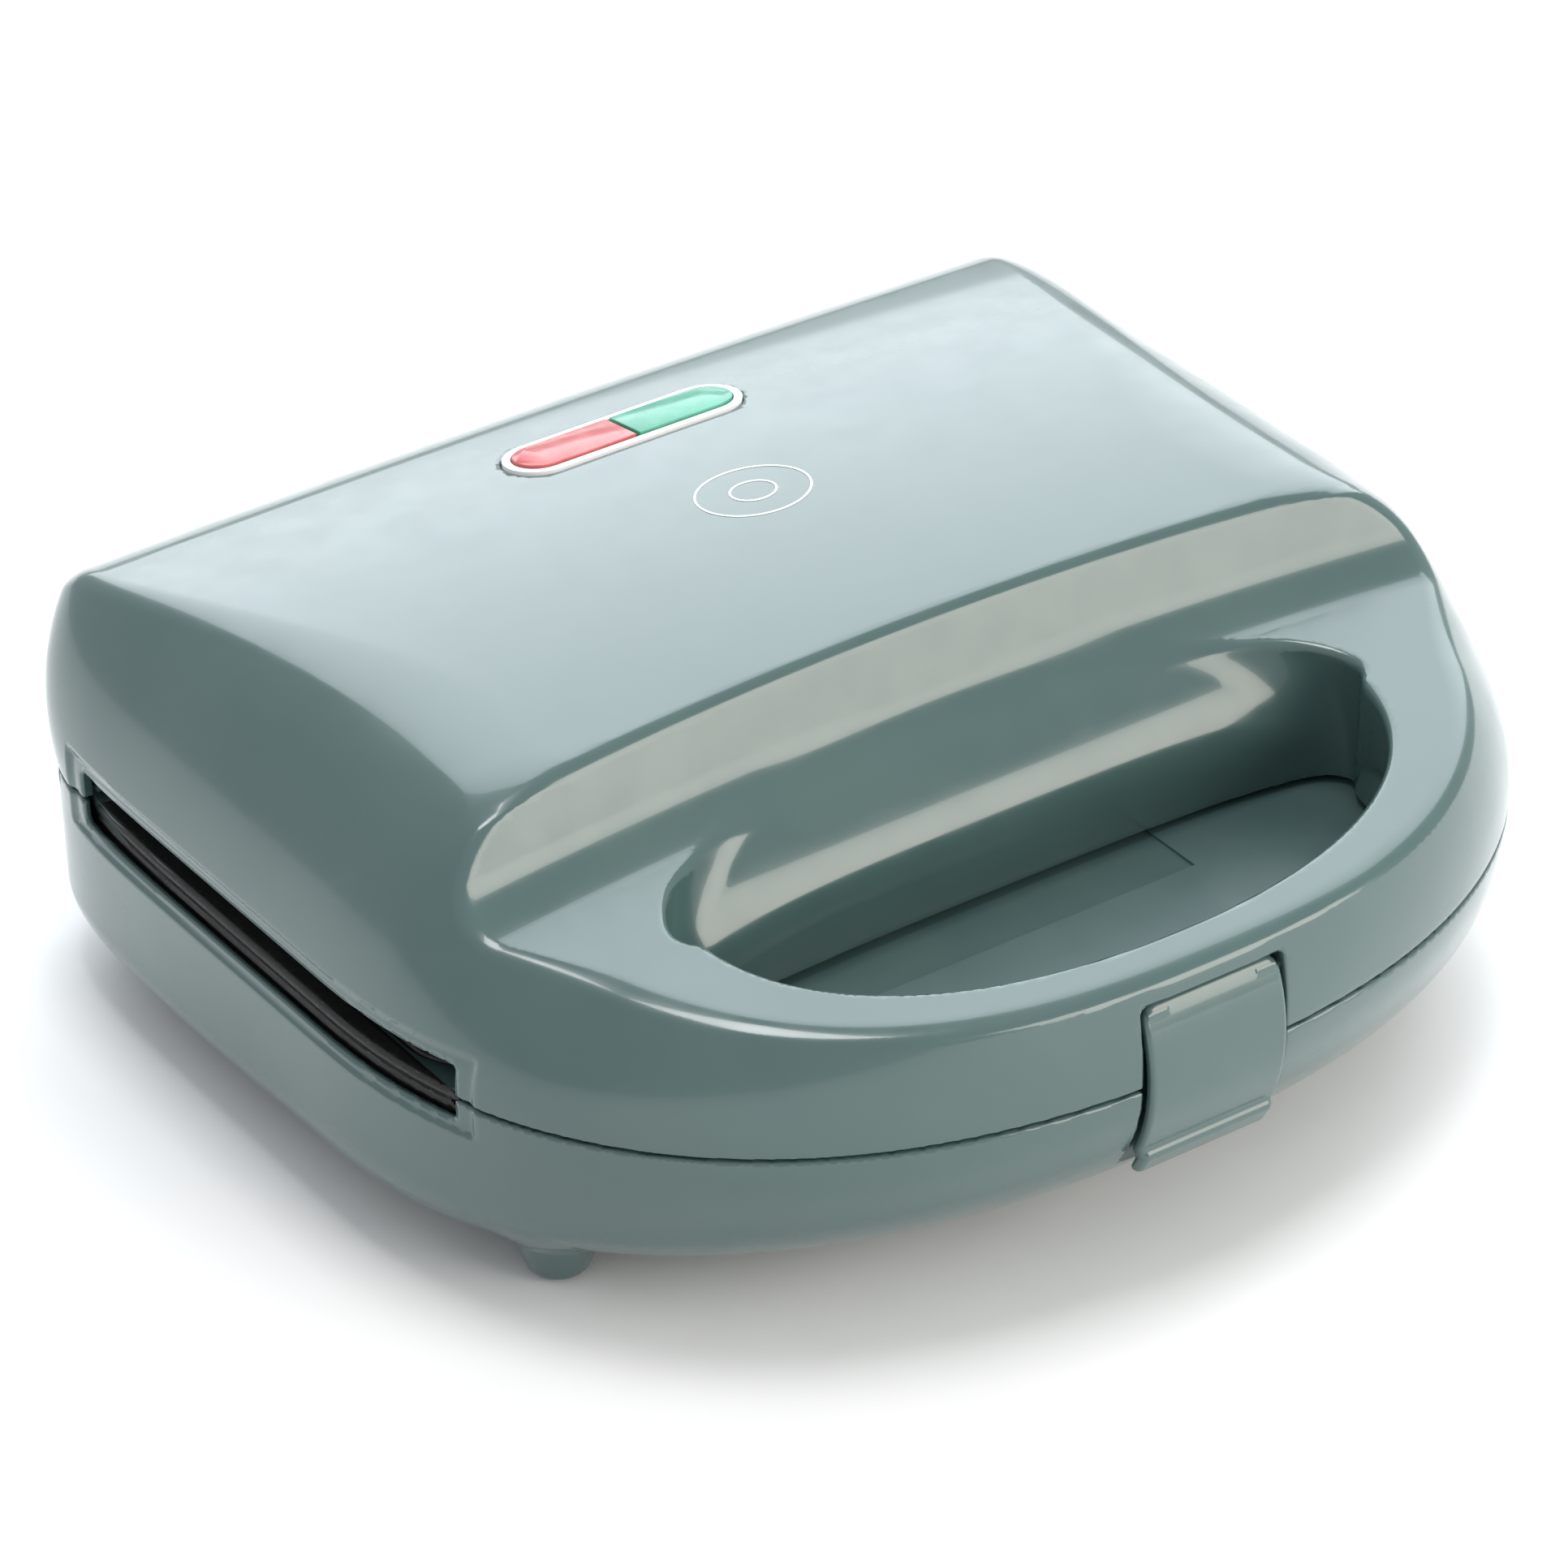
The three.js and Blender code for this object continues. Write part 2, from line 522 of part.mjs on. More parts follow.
// Cuts a column to the lid's slope between two heights measured from the lid's face.
const slopedSlab = (outline, below, above) => {
  const [near, far] = [0, LENS.y + 30];
  const profile = [[near, lensPlane(near) + below], [far, lensPlane(far) + below],
    [far, lensPlane(far) + above], [near, lensPlane(near) + above]];
  return extrudeZ(outline, SEAM, SEAM + 70).intersect(extrudeX(profile, -60, 60));
};

const indicatorBezel = () => {
  const flange = cut(slopedSlab(stadium(2), -5, -WALL - 0.9), slopedSlab(stadium(-1), -9, 9));
  return cut(join(slopedSlab(stadium(0), -5, 0.4), flange), slopedSlab(stadium(-LENS.wall), -9, 9));
};

const indicatorLens = (side) => {
  const half = box(...inOrder(side * 0.4, side * 60), 0, 110, SEAM, SEAM + 80);
  return slopedSlab(stadium(-LENS.wall - 0.35), -3.2, 0.9).intersect(half);
};

const lamp = (side) => join(
  bar("x", 2.6, ...inOrder(side * 8, side * 20), LENS.y, lidTop(LENS.y) - 9.6, 16),
  bar("x", 0.8, ...inOrder(side * 19, side * 25), LENS.y, lidTop(LENS.y) - 9.6, 10));

const lampHolder = () => cut(
  box(-27, 27, LENS.y - 6, LENS.y + 6, lidTop(LENS.y) - 14.4, lidTop(LENS.y) - 6.8),
  box(-25.4, -1.2, LENS.y - 4.4, LENS.y + 4.4, lidTop(LENS.y) - 12.8, SEAM + 60),
  box(1.2, 25.4, LENS.y - 4.4, LENS.y + 4.4, lidTop(LENS.y) - 12.8, SEAM + 60));

// ---- latch ----
const latchFace = (inset) => {
  const { sag } = LATCH;
  const chord = LATCH.top - LATCH.fold;
  const radius = ((chord / 2) ** 2 + sag ** 2) / (2 * sag);
  const spread = THREE.MathUtils.radToDeg(Math.asin(chord / 2 / radius));
  const centre = [-LATCH.bulge + radius, SEAM + (LATCH.top + LATCH.fold) / 2];
  return arc(centre[0], centre[1], radius - inset, 180 - spread, 180 + spread, 10);
};

const latch = () => {
  const { halfWidth, wall } = LATCH;
  const face = latchFace(0);
  const back = latchFace(wall).reverse();
  const [foldY, foldZ] = face[face.length - 1];
  const lip = [[foldY - 2.4, foldZ - 4], [foldY - 0.6, foldZ - 4.3], [foldY + 1.6, foldZ - 0.6]];
  const plate = extrudeX([...face, ...lip, ...back], -halfWidth, halfWidth);
  const eye = arc(LATCH_PIVOT.y, SEAM + LATCH_PIVOT.h, 2, 80, -80, 6);
  const arm = [[-103.6, SEAM + 14], ...eye, [-103.8, SEAM + 6]];
  const arms = [1, -1].map((side) => extrudeX(
    arm, ...inOrder(side * (halfWidth - 5), side * (halfWidth - 1))));
  const hookProfile = [[-103.6, -13], [-103.6, -16.4], [-101.2, -15.4], [-101.2, -13.4]];
  const hook = extrudeX(hookProfile.map(([y, h]) => [y, SEAM + h]), -8, 8);
  return cut(join(plate, ...arms, hook), latchPin(0.3, 1));
};

const latchPin = (grow, longer) => bar("x", LATCH_PIVOT.radius + grow, -LATCH.halfWidth - 2 - longer,
  LATCH.halfWidth + 2 + longer, LATCH_PIVOT.y, SEAM + LATCH_PIVOT.h, 16);

// ---- fasteners and pins ----
const screw = (x, y, headZ, tipZ) => {
  const { head, shaft, headHeight, cross } = SCREW;
  const up = Math.sign(tipZ - headZ);
  const top = inOrder(headZ - up, headZ + up);
  return cut(
    join(cylinder(head, head, x, y, ...inOrder(headZ, headZ + up * headHeight), 16),
      cylinder(shaft, shaft, x, y, ...inOrder(headZ, tipZ), 12)),
    box(x - cross, x + cross, y - 2, y + 2, ...top),
    box(x - 2, x + 2, y - cross, y + cross, ...top));
};

const hingePin = (side) => bar(
  "x", HINGE.pinRadius, side * HINGE.x - 11, side * HINGE.x + 11, HINGE.y, HINGE.z, 20);

// ---- assembly ----
const material = ([color, roughness, metalness]) => new THREE.MeshStandardMaterial(
  { color, roughness, metalness });

const donutMaker = new THREE.Group();
donutMaker.position.set(0, SHIFT_Y, 0);

const addPart = (name, shape, finish) => {
  const mesh = new THREE.Mesh(shape.isBufferGeometry ? shape : geometryOf(shape), material(finish));
  mesh.name = name;
  donutMaker.add(mesh);
};

addPart("lower_casing", lowerCasing(), COLOUR.shell);
addPart("lower_inner_frame", lowerInnerFrame(), COLOUR.inner);
addPart("lower_plate", placePlate(false), COLOUR.coating);
addPart("lower_heating_element", heater(SEAM - 15.2), COLOUR.steel);
addPart("lower_reflector", reflector(SEAM - 24, 4), COLOUR.zinc);
addPart("terminal_block", terminalBlock(), COLOUR.ceramic);
addPart("cord_gland", cordGland(), COLOUR.black);
addPart("upper_casing", upperCasing(), COLOUR.shell);
addPart("upper_inner_frame", upperInnerFrame(), COLOUR.inner);
addPart("upper_plate", placePlate(true), COLOUR.coating);
addPart("upper_heating_element", heater(SEAM + 15.2), COLOUR.steel);
addPart("upper_reflector", reflector(SEAM + 23, -4), COLOUR.zinc);
addPart("thermostat", thermostat(), COLOUR.ceramic);
addPart("thermal_fuse", thermalFuse(), COLOUR.steel);
addPart("indicator_bezel", indicatorBezel(), COLOUR.white);
addPart("lens_red", indicatorLens(-1), COLOUR.red);
addPart("lens_green", indicatorLens(1), COLOUR.green);
addPart("lamp_red", lamp(-1), COLOUR.glass);
addPart("lamp_green", lamp(1), COLOUR.glass);
addPart("lamp_holder", lampHolder(), COLOUR.white);
addPart("latch", latch(), COLOUR.shell);
addPart("latch_pin", latchPin(0, 0), COLOUR.steel);
addPart("hinge_pin_left", hingePin(-1), COLOUR.steel);
addPart("hinge_pin_right", hingePin(1), COLOUR.steel);

feetPlaces().forEach(([place, x, y]) => {
  addPart(`foot_pad_${place}`, cylinder(FEET.pad, FEET.pad, x, y, 0, 2.5, 20), COLOUR.rubber);
});
baseScrewPlaces().forEach(([x, y], i) => {
  addPart(`base_screw_${i + 1}`, screw(x, y, BASE_SCREW.head, BASE_SCREW.tip), COLOUR.steel);
});
lidScrewPlaces().forEach(([x, y], i) => {
  addPart(`lid_screw_${i + 1}`, screw(x, y, LID_SCREW.head, LID_SCREW.tip), COLOUR.steel);
});

export default donutMaker;
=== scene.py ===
"""Mini donut maker: the looks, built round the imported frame.

Shape functions work in millimetres, with x to the right, y backwards from the body's middle line
and h upwards from the parting plane between lid and base. Each is a field, which is negative inside
the shape and positive outside."""
import json
import math

import bmesh
import bpy
import numpy as np
from mathutils import Matrix, Vector


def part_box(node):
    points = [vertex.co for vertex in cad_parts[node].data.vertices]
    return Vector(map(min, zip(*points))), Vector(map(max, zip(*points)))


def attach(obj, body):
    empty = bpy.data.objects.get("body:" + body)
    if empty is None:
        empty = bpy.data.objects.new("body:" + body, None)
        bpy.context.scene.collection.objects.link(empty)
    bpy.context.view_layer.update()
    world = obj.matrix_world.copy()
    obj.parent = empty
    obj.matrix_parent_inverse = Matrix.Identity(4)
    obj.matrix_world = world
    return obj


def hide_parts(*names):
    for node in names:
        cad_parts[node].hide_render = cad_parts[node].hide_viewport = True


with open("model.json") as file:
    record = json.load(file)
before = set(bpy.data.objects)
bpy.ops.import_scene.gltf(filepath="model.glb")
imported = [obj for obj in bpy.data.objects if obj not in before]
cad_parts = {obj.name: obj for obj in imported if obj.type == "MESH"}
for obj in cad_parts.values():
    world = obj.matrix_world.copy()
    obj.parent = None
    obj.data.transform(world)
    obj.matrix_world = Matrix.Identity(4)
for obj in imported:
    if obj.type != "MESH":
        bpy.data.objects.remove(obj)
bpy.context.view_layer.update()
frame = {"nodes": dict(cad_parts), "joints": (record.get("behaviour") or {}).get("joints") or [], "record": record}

MM = 0.001


def node_box(node):
    """Lowest and highest corner of a CAD node, in millimetres."""
    return [np.array(corner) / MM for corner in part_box(node)]


# ---- places, from the frame ----
PLATE_MIDDLE = 26.0  # the plates' middle, behind the body's middle line
LOWER_PLATE, UPPER_PLATE = node_box("lower_plate"), node_box("upper_plate")
SEAM = (LOWER_PLATE[1][2] + UPPER_PLATE[0][2]) / 2
MIDDLE_Y = (LOWER_PLATE[0][1] + LOWER_PLATE[1][1]) / 2 - PLATE_MIDDLE
JOINTS = {joint["name"]: np.array(joint["pos_m"]) / MM for joint in frame["joints"]}
HINGE_Y = JOINTS["lid_hinge"][1] - MIDDLE_Y
HINGE_H = JOINTS["lid_hinge"][2] - SEAM

# ---- sizes of the shells ----
HALF_WIDTH, FRONT, REAR = 120.0, 105.8, 112.0
FRONT_POWER, REAR_POWER = 2.3, 7.5  # how square the outline is in plan
WALL = 2.4
RIM = 0.3  # each shell stops this far from the parting plane
DEPTH = SEAM - 8.0  # the base reaches this far below the parting plane
LIP = 0.5  # the small rounding of cut edges
GRID = 1.0
MARGIN = 3.0  # free space round a shell on its grid
SHELL_FACES, PLATE_FACES, SMALL_FACES = 170_000, 120_000, 60_000


# ---- field tools ----
def round_max(a, b, radius):
    """Intersection whose edge has this radius."""
    corner = np.hypot(np.maximum(radius + a, 0), np.maximum(radius + b, 0))
    return np.minimum(-radius, np.maximum(a, b)) + corner


def round_min(a, b, radius):
    """Union whose inner corner has this radius."""
    return -round_max(-a, -b, radius)


def carve(body, tool, radius):
    """The body without the tool, with this radius on the edge left."""
    return round_max(body, -tool, radius)


def smooth(x, start, end):
    """0 before start, 1 after end, with a soft passage."""
    t = np.clip((x - start) / (end - start), 0, 1)
    return t * t * (3 - 2 * t)


def egg(x, y, half, front, rear, front_power, rear_power):
    """Two half superellipses that share their width, in front of y = 0 and behind it."""
    reach = np.where(y < 0, front, rear)
    power = np.where(y < 0, front_power, rear_power)
    u, v = np.abs(x) / half, np.abs(y) / reach
    up, vp = u ** (power - 1), v ** (power - 1)
    value = np.maximum(up * u + vp * v, 1e-9) ** (1 / power)
    slope = np.hypot(up / half, vp / reach) * value ** (1 - power)
    return (value - 1) / np.maximum(slope, 2e-3)


def rounded_box(x, y, cx, cy, half_x, half_y, radius):
    dx, dy = np.abs(x - cx) - half_x + radius, np.abs(y - cy) - half_y + radius
    return np.hypot(np.maximum(dx, 0), np.maximum(dy, 0)) + np.minimum(np.maximum(dx, dy), 0) - radius


# ---- the lid ----
LID_FRONT_Y, LID_FRONT_H = -17.0, 46.0  # the crest, where the top meets the wall behind the finger hole
LID_REAR_Y, LID_REAR_H = 99.0, 36.5  # where the top meets the rear bevel
BEVEL = np.array([8.0, 12.0]) / math.hypot(8, 12)
BEVEL_EDGE = 1.5
CROWN, SIDE_CROWN, CROWN_HALF = 3.9, 0.8, 85.0  # the top's rise along the middle, and its fall to the sides
SHOULDER = 24.0
GRIP_EDGE, DOME_EDGE = 9.0, 2.0

# The sides: the dome's section behind, and the grip's in front, which leans in towards the grip's face.
DOME_HEIGHT, DOME_CLIP, DOME_POWER = 48.6, 47.5, 0.147
GRIP_FRONT_Y, GRIP_FRONT_H, GRIP_SLOPE = -104.0, 20.5, 0.1
GRIP_LEAN, GRIP_POWER = 18.5, 2.2
FRONT_LEAN, FRONT_SQUARING = 3.0, 0.3
REAR_LEAN, REAR_SQUARING = 0.04, 0.15
LEDGE_RISE, LEDGE_END_Y, LEDGE_FALL, LEDGE_FILLET = 9.0, -24.0, 3.0, 14.0

# The tray above the grip's face, the finger hole, and the rolled scoop between the two.
CREST_WALL_TILT = math.radians(23)
CREST_FILLET, CREST_EDGE, CREST_BOW, CREST_HALF = 6.5, 1.8, 3.0, 75.0
HOLE_Y, HOLE_HALF, HOLE_FRONT, HOLE_REAR, HOLE_EDGE = -50.0, 73.0, 43.6, 8.5, 1.6
HOLE_POWERS, SCOOP_POWERS = (2.2, 3.0), (2.2, 1.75)
ROLL_Y, ROLL_RADIUS = -13.1, 32.0
SCOOP_HALF, SCOOP_REAR, SCOOP_FRONT, SCOOP_FILLET = 75.5, 32.0, 14.0, 6.0

# Cuts through both shells, and the shallow step round the side slot.
SLOT_MIDDLE, SLOT_HALF, SLOT_UP, SLOT_DOWN, SLOT_CORNER, SLOT_X = 21.0, 59.0, 6.5, 4.5, 1.2, 100.0
RECESS_DEPTH = 0.9
RECESS_FRONT, RECESS_REAR = (-43.5, -41.2), (-85.5, -83.2)  # in y, and in -y
RECESS_TOP, RECESS_BOTTOM = (-10.5, -8.5), (-7.2, -5.6)  # in -h, and in h
LATCH_HALF, LATCH_TOP, LATCH_DROP, LATCH_BACK, LATCH_CORNER = 15.7, 16.0, 19.2, -98.2, 1.5
HINGE_X = 62.0
NOTCH_HALF_X, NOTCH_H, NOTCH_HALF_H, NOTCH_CORNER, NOTCH_AHEAD = 6.7, 4.0, 15.0, 1.0, 7.5
LENS_Y, LENS_HALF_X, LENS_HALF_Y, LENS_FLOOR = 76.0, 26.2, 7.4, 20.0
CUT_EDGE = 0.6


def grip_height(y):
    return GRIP_FRONT_H + GRIP_SLOPE * (y - GRIP_FRONT_Y)


def lid_half(h):
    return HALF_WIDTH * (1 - (np.clip(h, 0, DOME_CLIP) / DOME_HEIGHT) ** 2) ** DOME_POWER


def side_half(y, h):
    """Half-width of the lid, by the grip's section in front and the dome's behind, and the grip's lean."""
    share = np.clip(h / grip_height(np.minimum(y, 0)), 0, 1.7) ** GRIP_POWER
    grip = HALF_WIDTH - GRIP_LEAN * share
    blend = smooth(y, -58, -20)
    return grip + (lid_half(h) - grip) * blend, share * (1 - blend)


def lid_top(x, y):
    slope = (LID_REAR_H - LID_FRONT_H) / (LID_REAR_Y - LID_FRONT_Y)
    middle = (LID_FRONT_Y + LID_REAR_Y) / 2
    along = 1 - ((y - middle) / (LID_REAR_Y - middle)) ** 2
    plane = LID_FRONT_H + slope * (y - LID_FRONT_Y)
    return plane + CROWN * np.clip(along, -1, 1) - SIDE_CROWN * (x / CROWN_HALF) ** 2


def lid_side(x, y, h):
    half, share = side_half(y, h)
    above, _ = side_half(y, h + 0.5)
    lean = 2 * (above - half)
    front_share = np.minimum(share, 1.2)
    height = np.clip(h, 0, 60)
    side = egg(x, y, half, FRONT - FRONT_LEAN * front_share, REAR - REAR_LEAN * height,
               FRONT_POWER + FRONT_SQUARING * front_share, REAR_POWER + REAR_SQUARING * height)
    return side / np.sqrt(1 + lean ** 2)


def lid_outside(x, y, h):
    top = h - lid_top(x, y)
    rear_edge = h - LID_REAR_H + SIDE_CROWN * (x / CROWN_HALF) ** 2
    bevel = (y - LID_REAR_Y) * BEVEL[0] + rear_edge * BEVEL[1]
    roof = round_max(top, bevel, BEVEL_EDGE)
    shoulder = round_max(roof, LID_FRONT_Y - SHOULDER - y, SHOULDER)
    ledge_top = grip_height(np.minimum(y, LID_FRONT_Y)) + LEDGE_RISE
    ledge = h - ledge_top + LEDGE_FALL * np.maximum(y - LEDGE_END_Y, 0)
    profile = round_min(shoulder, ledge, LEDGE_FILLET)
    edge = GRIP_EDGE + (DOME_EDGE - GRIP_EDGE) * smooth(y, -40, -12)
    return round_max(lid_side(x, y, h), profile, edge)


def grip_face(x, y, h):
    """The solid below the grip's face, with the rolled scoop behind the finger hole sunk into it."""
    roll = np.hypot(np.minimum(y - ROLL_Y, 0), np.maximum(h, 0)) - ROLL_RADIUS
    plan = egg(x, y - HOLE_Y, SCOOP_HALF, SCOOP_FRONT, SCOOP_REAR, *SCOOP_POWERS)
    return carve(h - grip_height(y), round_max(plan, -roll, SCOOP_FILLET), HOLE_EDGE)


def tray(x, y, h):
    """What is taken away above the grip's face, up to the crest wall with its fillet."""
    crest = LID_FRONT_Y - CREST_BOW * (x / CREST_HALF) ** 2
    ahead = (crest - y) * math.cos(CREST_WALL_TILT) + (h - LID_FRONT_H) * math.sin(CREST_WALL_TILT)
    return round_max(-ahead, -grip_face(x, y, h), CREST_FILLET)


def finger_hole(x, y, h):
    return egg(x, y - HOLE_Y, HOLE_HALF, HOLE_FRONT, HOLE_REAR, *HOLE_POWERS)


def side_recess(x, y, h):
    """How far the sides step in round the plate slot."""
    along = smooth(y, *RECESS_FRONT) * smooth(-y, *RECESS_REAR)
    return RECESS_DEPTH * along * smooth(-h, *RECESS_TOP) * smooth(h, *RECESS_BOTTOM)


def slot(x, y, h):
    middle, half = (SLOT_UP - SLOT_DOWN) / 2, (SLOT_UP + SLOT_DOWN) / 2
    plan = rounded_box(y, h, SLOT_MIDDLE, middle, SLOT_HALF, half, SLOT_CORNER)
    return np.maximum(plan, SLOT_X - np.abs(x))


def latch_recess(x, y, h):
    middle, half = (LATCH_TOP - LATCH_DROP) / 2, (LATCH_TOP + LATCH_DROP) / 2
    plan = rounded_box(x, h, 0, middle, LATCH_HALF, half, LATCH_CORNER)
    return np.maximum(plan, y - LATCH_BACK)


def hinge_notches(x, y, h):
    plan = rounded_box(np.abs(x), h, HINGE_X, NOTCH_H, NOTCH_HALF_X, NOTCH_HALF_H, NOTCH_CORNER)
    return np.maximum(plan, HINGE_Y - NOTCH_AHEAD - y)


def lens_window(x, y, h):
    plan = rounded_box(x, y, 0, LENS_Y, LENS_HALF_X, LENS_HALF_Y, LENS_HALF_Y)
    return np.maximum(plan, LENS_FLOOR - h)


def upper_shell(x, y, h):
    body = lid_outside(x, y, h) + side_recess(x, y, h)
    body = carve(body, tray(x, y, h), CREST_EDGE)
    body = carve(body, finger_hole(x, y, h), HOLE_EDGE)
    skin = body + WALL
    body = carve(body, slot(x, y, h), CUT_EDGE)
    pocket = latch_recess(x, y, h)
    notches = hinge_notches(x, y, h)
    body = carve(body, pocket, CUT_EDGE)
    body = carve(body, notches, CUT_EDGE)
    body = carve(body, lens_window(x, y, h), LIP)
    hollow = np.maximum(np.maximum(skin, WALL - pocket), WALL - notches)
    return round_max(carve(body, hollow, LIP), RIM - h, LIP)


# ---- the base ----
FOOT_X, FOOT_FRONT_Y, FOOT_REAR_Y = 94.5, -40.0, 80.0
FOOT_TIP, FOOT_SLOPE, FOOT_TOP, PAD_HEIGHT = 5.0, 0.38, 20.0, 0.9
SWEEP = 45.0  # how far the bottom's front edge lies behind the rim's
BELLY, FRONT_TURN, REAR_TURN, TURN_SHARE, DRAFT = 36.0, 14.0, 10.0, 0.9, 0.03  # how the sides turn under
BOTTOM_EDGE, FOOT_FILLET, FOOT_EDGE = 6.0, 3.5, 1.5
RIM_DROP_Y, RIM_DROP, SHELF_DROP = HINGE_Y - 12.5, 3.2, 5.6  # the rim is lower behind, by the hinges
GLAND_H, GLAND_HOLE, GLAND_WALL = 25.0, 6.3, 12.0
LUG_HALF, LUG_RADIUS, LUG_BORE, LUG_EDGE, LUG_DROP, BORE_EDGE = 6.0, 6.5, 2.8, 0.8, 20.0, 0.4
FRONT_SCREW_X, FRONT_SCREW_Y, REAR_SCREW_X, REAR_SCREW_Y, SCREW_HOLE = 60.0, -50.0, 35.0, 88.0, 3.4
VENT_INNER_X, VENT_OUTER_X, VENT_Y, VENT_HALF_X, VENT_HALF_Y = 6.0, 30.0, 24.0, 1.6, 20.0


def foot_places():
    return [(side * FOOT_X, y) for side in (-1, 1) for y in (FOOT_FRONT_Y, FOOT_REAR_Y)]


def base_outside(x, y, h):
    d = np.clip(-h, 0, DEPTH)
    radius = FRONT_TURN + (REAR_TURN - FRONT_TURN) * smooth(y, -20, 50)
    turn = radius - np.sqrt(np.maximum(radius ** 2 - np.maximum(d - BELLY + radius, 0) ** 2, 1))
    sweep = SWEEP * (1 - np.sqrt(1 - (d / (DEPTH + 0.5)) ** 2))
    half = HALF_WIDTH - (TURN_SHARE * turn + DRAFT * d)
    side = egg(x, y, half, FRONT - sweep, REAR - TURN_SHARE * turn, FRONT_POWER, REAR_POWER)
    lean = np.hypot(1, (np.where(y < 0, sweep, turn) / FRONT_TURN).clip(0, 1.5))
    body = round_max(side / lean, -DEPTH - h, BOTTOM_EDGE)
    for fx, fy in foot_places():
        cone = np.hypot(x - fx, y - fy) - FOOT_TIP - FOOT_SLOPE * (h + SEAM)
        foot = round_max(cone * 0.93, -SEAM + PAD_HEIGHT - h, FOOT_EDGE)
        body = round_min(body, np.maximum(foot, h + SEAM - FOOT_TOP), FOOT_FILLET)
    return body


def hinge_lugs(x, y, h):
    round_top = np.hypot(y - HINGE_Y, np.maximum(h - HINGE_H, 0)) - LUG_RADIUS
    lug = round_max(np.abs(np.abs(x) - HINGE_X) - LUG_HALF, round_top, LUG_EDGE)
    bore = np.hypot(y - HINGE_Y, h - HINGE_H) - LUG_BORE
    return np.maximum(lug, -LUG_DROP - h), bore


def base_openings(x, y, h):
    """Four vent slots and four screw holes through the bottom."""
    beside = np.abs(x)
    to_vent = np.minimum(np.abs(beside - VENT_INNER_X), np.abs(beside - VENT_OUTER_X))
    vents = rounded_box(to_vent, y, 0, VENT_Y, VENT_HALF_X, VENT_HALF_Y, VENT_HALF_X)
    front_screws = np.hypot(beside - FRONT_SCREW_X, y - FRONT_SCREW_Y)
    rear_screws = np.hypot(beside - REAR_SCREW_X, y - REAR_SCREW_Y)
    screws = np.minimum(front_screws, rear_screws) - SCREW_HOLE
    return np.maximum(np.minimum(vents, screws), h + DEPTH - 4)


def lower_shell(x, y, h):
    body = base_outside(x, y, h) + side_recess(x, y, h)
    skin = np.maximum(base_outside(x, y, np.minimum(h, -0.5)) + WALL, WALL - DEPTH - h)
    body = carve(body, slot(x, y, h), CUT_EDGE)
    pocket = latch_recess(x, y, h)
    body = carve(body, pocket, CUT_EDGE)
    shelf = np.maximum(RIM_DROP_Y - y, -SHELF_DROP - h)
    hollow = np.maximum(np.maximum(skin, WALL - pocket), -shelf)
    body = carve(body, base_openings(x, y, h), LIP)
    body = carve(body, hollow, LIP)
    rim = np.where(y > RIM_DROP_Y, h + RIM_DROP, h + RIM)
    body = round_max(body, rim, LIP)
    gland = np.hypot(x, h + SEAM - GLAND_H) - GLAND_HOLE
    body = carve(body, np.maximum(gland, REAR - GLAND_WALL - y), BORE_EDGE)
    lug, bore = hinge_lugs(x, y, h)
    return carve(round_min(body, lug, LIP), bore, BORE_EDGE)


# ---- meshes from fields ----
SLAB = 24  # this many layers of the grid at a time, to save memory


def grid_values(field, low, high, step):
    axes = [np.arange(a, b + step, step) for a, b in zip(low, high)]
    x, y, h = np.meshgrid(*axes, indexing="ij", sparse=True)
    shape = [len(axis) for axis in axes]
    values = np.empty(shape, np.float64)
    for i in range(0, shape[0], SLAB):
        layers = x[i:i + SLAB]
        slab = np.broadcast_to(layers, (len(layers), shape[1], shape[2]))
        values[i:i + SLAB] = field(slab, y + 0 * slab, h + 0 * slab)
    return values


def surface_cells(inside):
    """A number for each grid cell that the surface passes, and -1 for the others."""
    count = np.zeros([n - 1 for n in inside.shape], np.int8)
    for dx, dy, dz in np.ndindex(2, 2, 2):
        count += inside[dx:dx + count.shape[0], dy:dy + count.shape[1], dz:dz + count.shape[2]]
    passed = (count > 0) & (count < 8)
    number = np.full(count.shape, -1, np.int64)
    number[passed] = np.arange(passed.sum())
    return number


def net(field, values, low, step):
    """One point in each cell that the surface passes, and one four-sided face across each crossed edge."""
    inside = values < 0
    number = surface_cells(inside)
    sums = np.zeros((number.max() + 1, 16))
    faces = []
    for axis in range(3):
        ring, crossing = edge_faces(inside, values, number, axis)
        crossing = np.array(low) + step * crossing
        columns = plane_columns(crossing, unit(gradient(field, crossing)))
        for corner in range(4):
            for k, column in enumerate(columns):
                sums[:, k] += np.bincount(ring[:, corner], column, len(sums))
        faces.append(ring)
    return meeting_points(sums, step), np.concatenate(faces)


def plane_columns(crossing, slope):
    """What a crossing adds to its cells: its tangent plane's equations, its place, and one to the count."""
    offset = (slope * crossing).sum(1)
    square = [slope[:, a] * slope[:, b] for a in range(3) for b in range(3)]
    level = [slope[:, a] * offset for a in range(3)]
    return square + level + list(crossing.T) + [np.ones(len(slope))]


def meeting_points(sums, step):
    """Where each cell's tangent planes meet, held near the middle of its crossings. Edges stay crisp."""
    count = sums[:, 15:]
    middle = sums[:, 12:15] / count
    hold = 0.06 * count
    matrix = sums[:, :9].reshape(-1, 3, 3) + hold[:, :, None] * np.eye(3)
    target = sums[:, 9:12] + hold * middle
    away = np.linalg.solve(matrix, target[..., None])[..., 0] - middle
    far = np.maximum(np.linalg.norm(away, axis=1, keepdims=True), 1e-9)
    return middle + away * np.minimum(1, 0.9 * step / far)


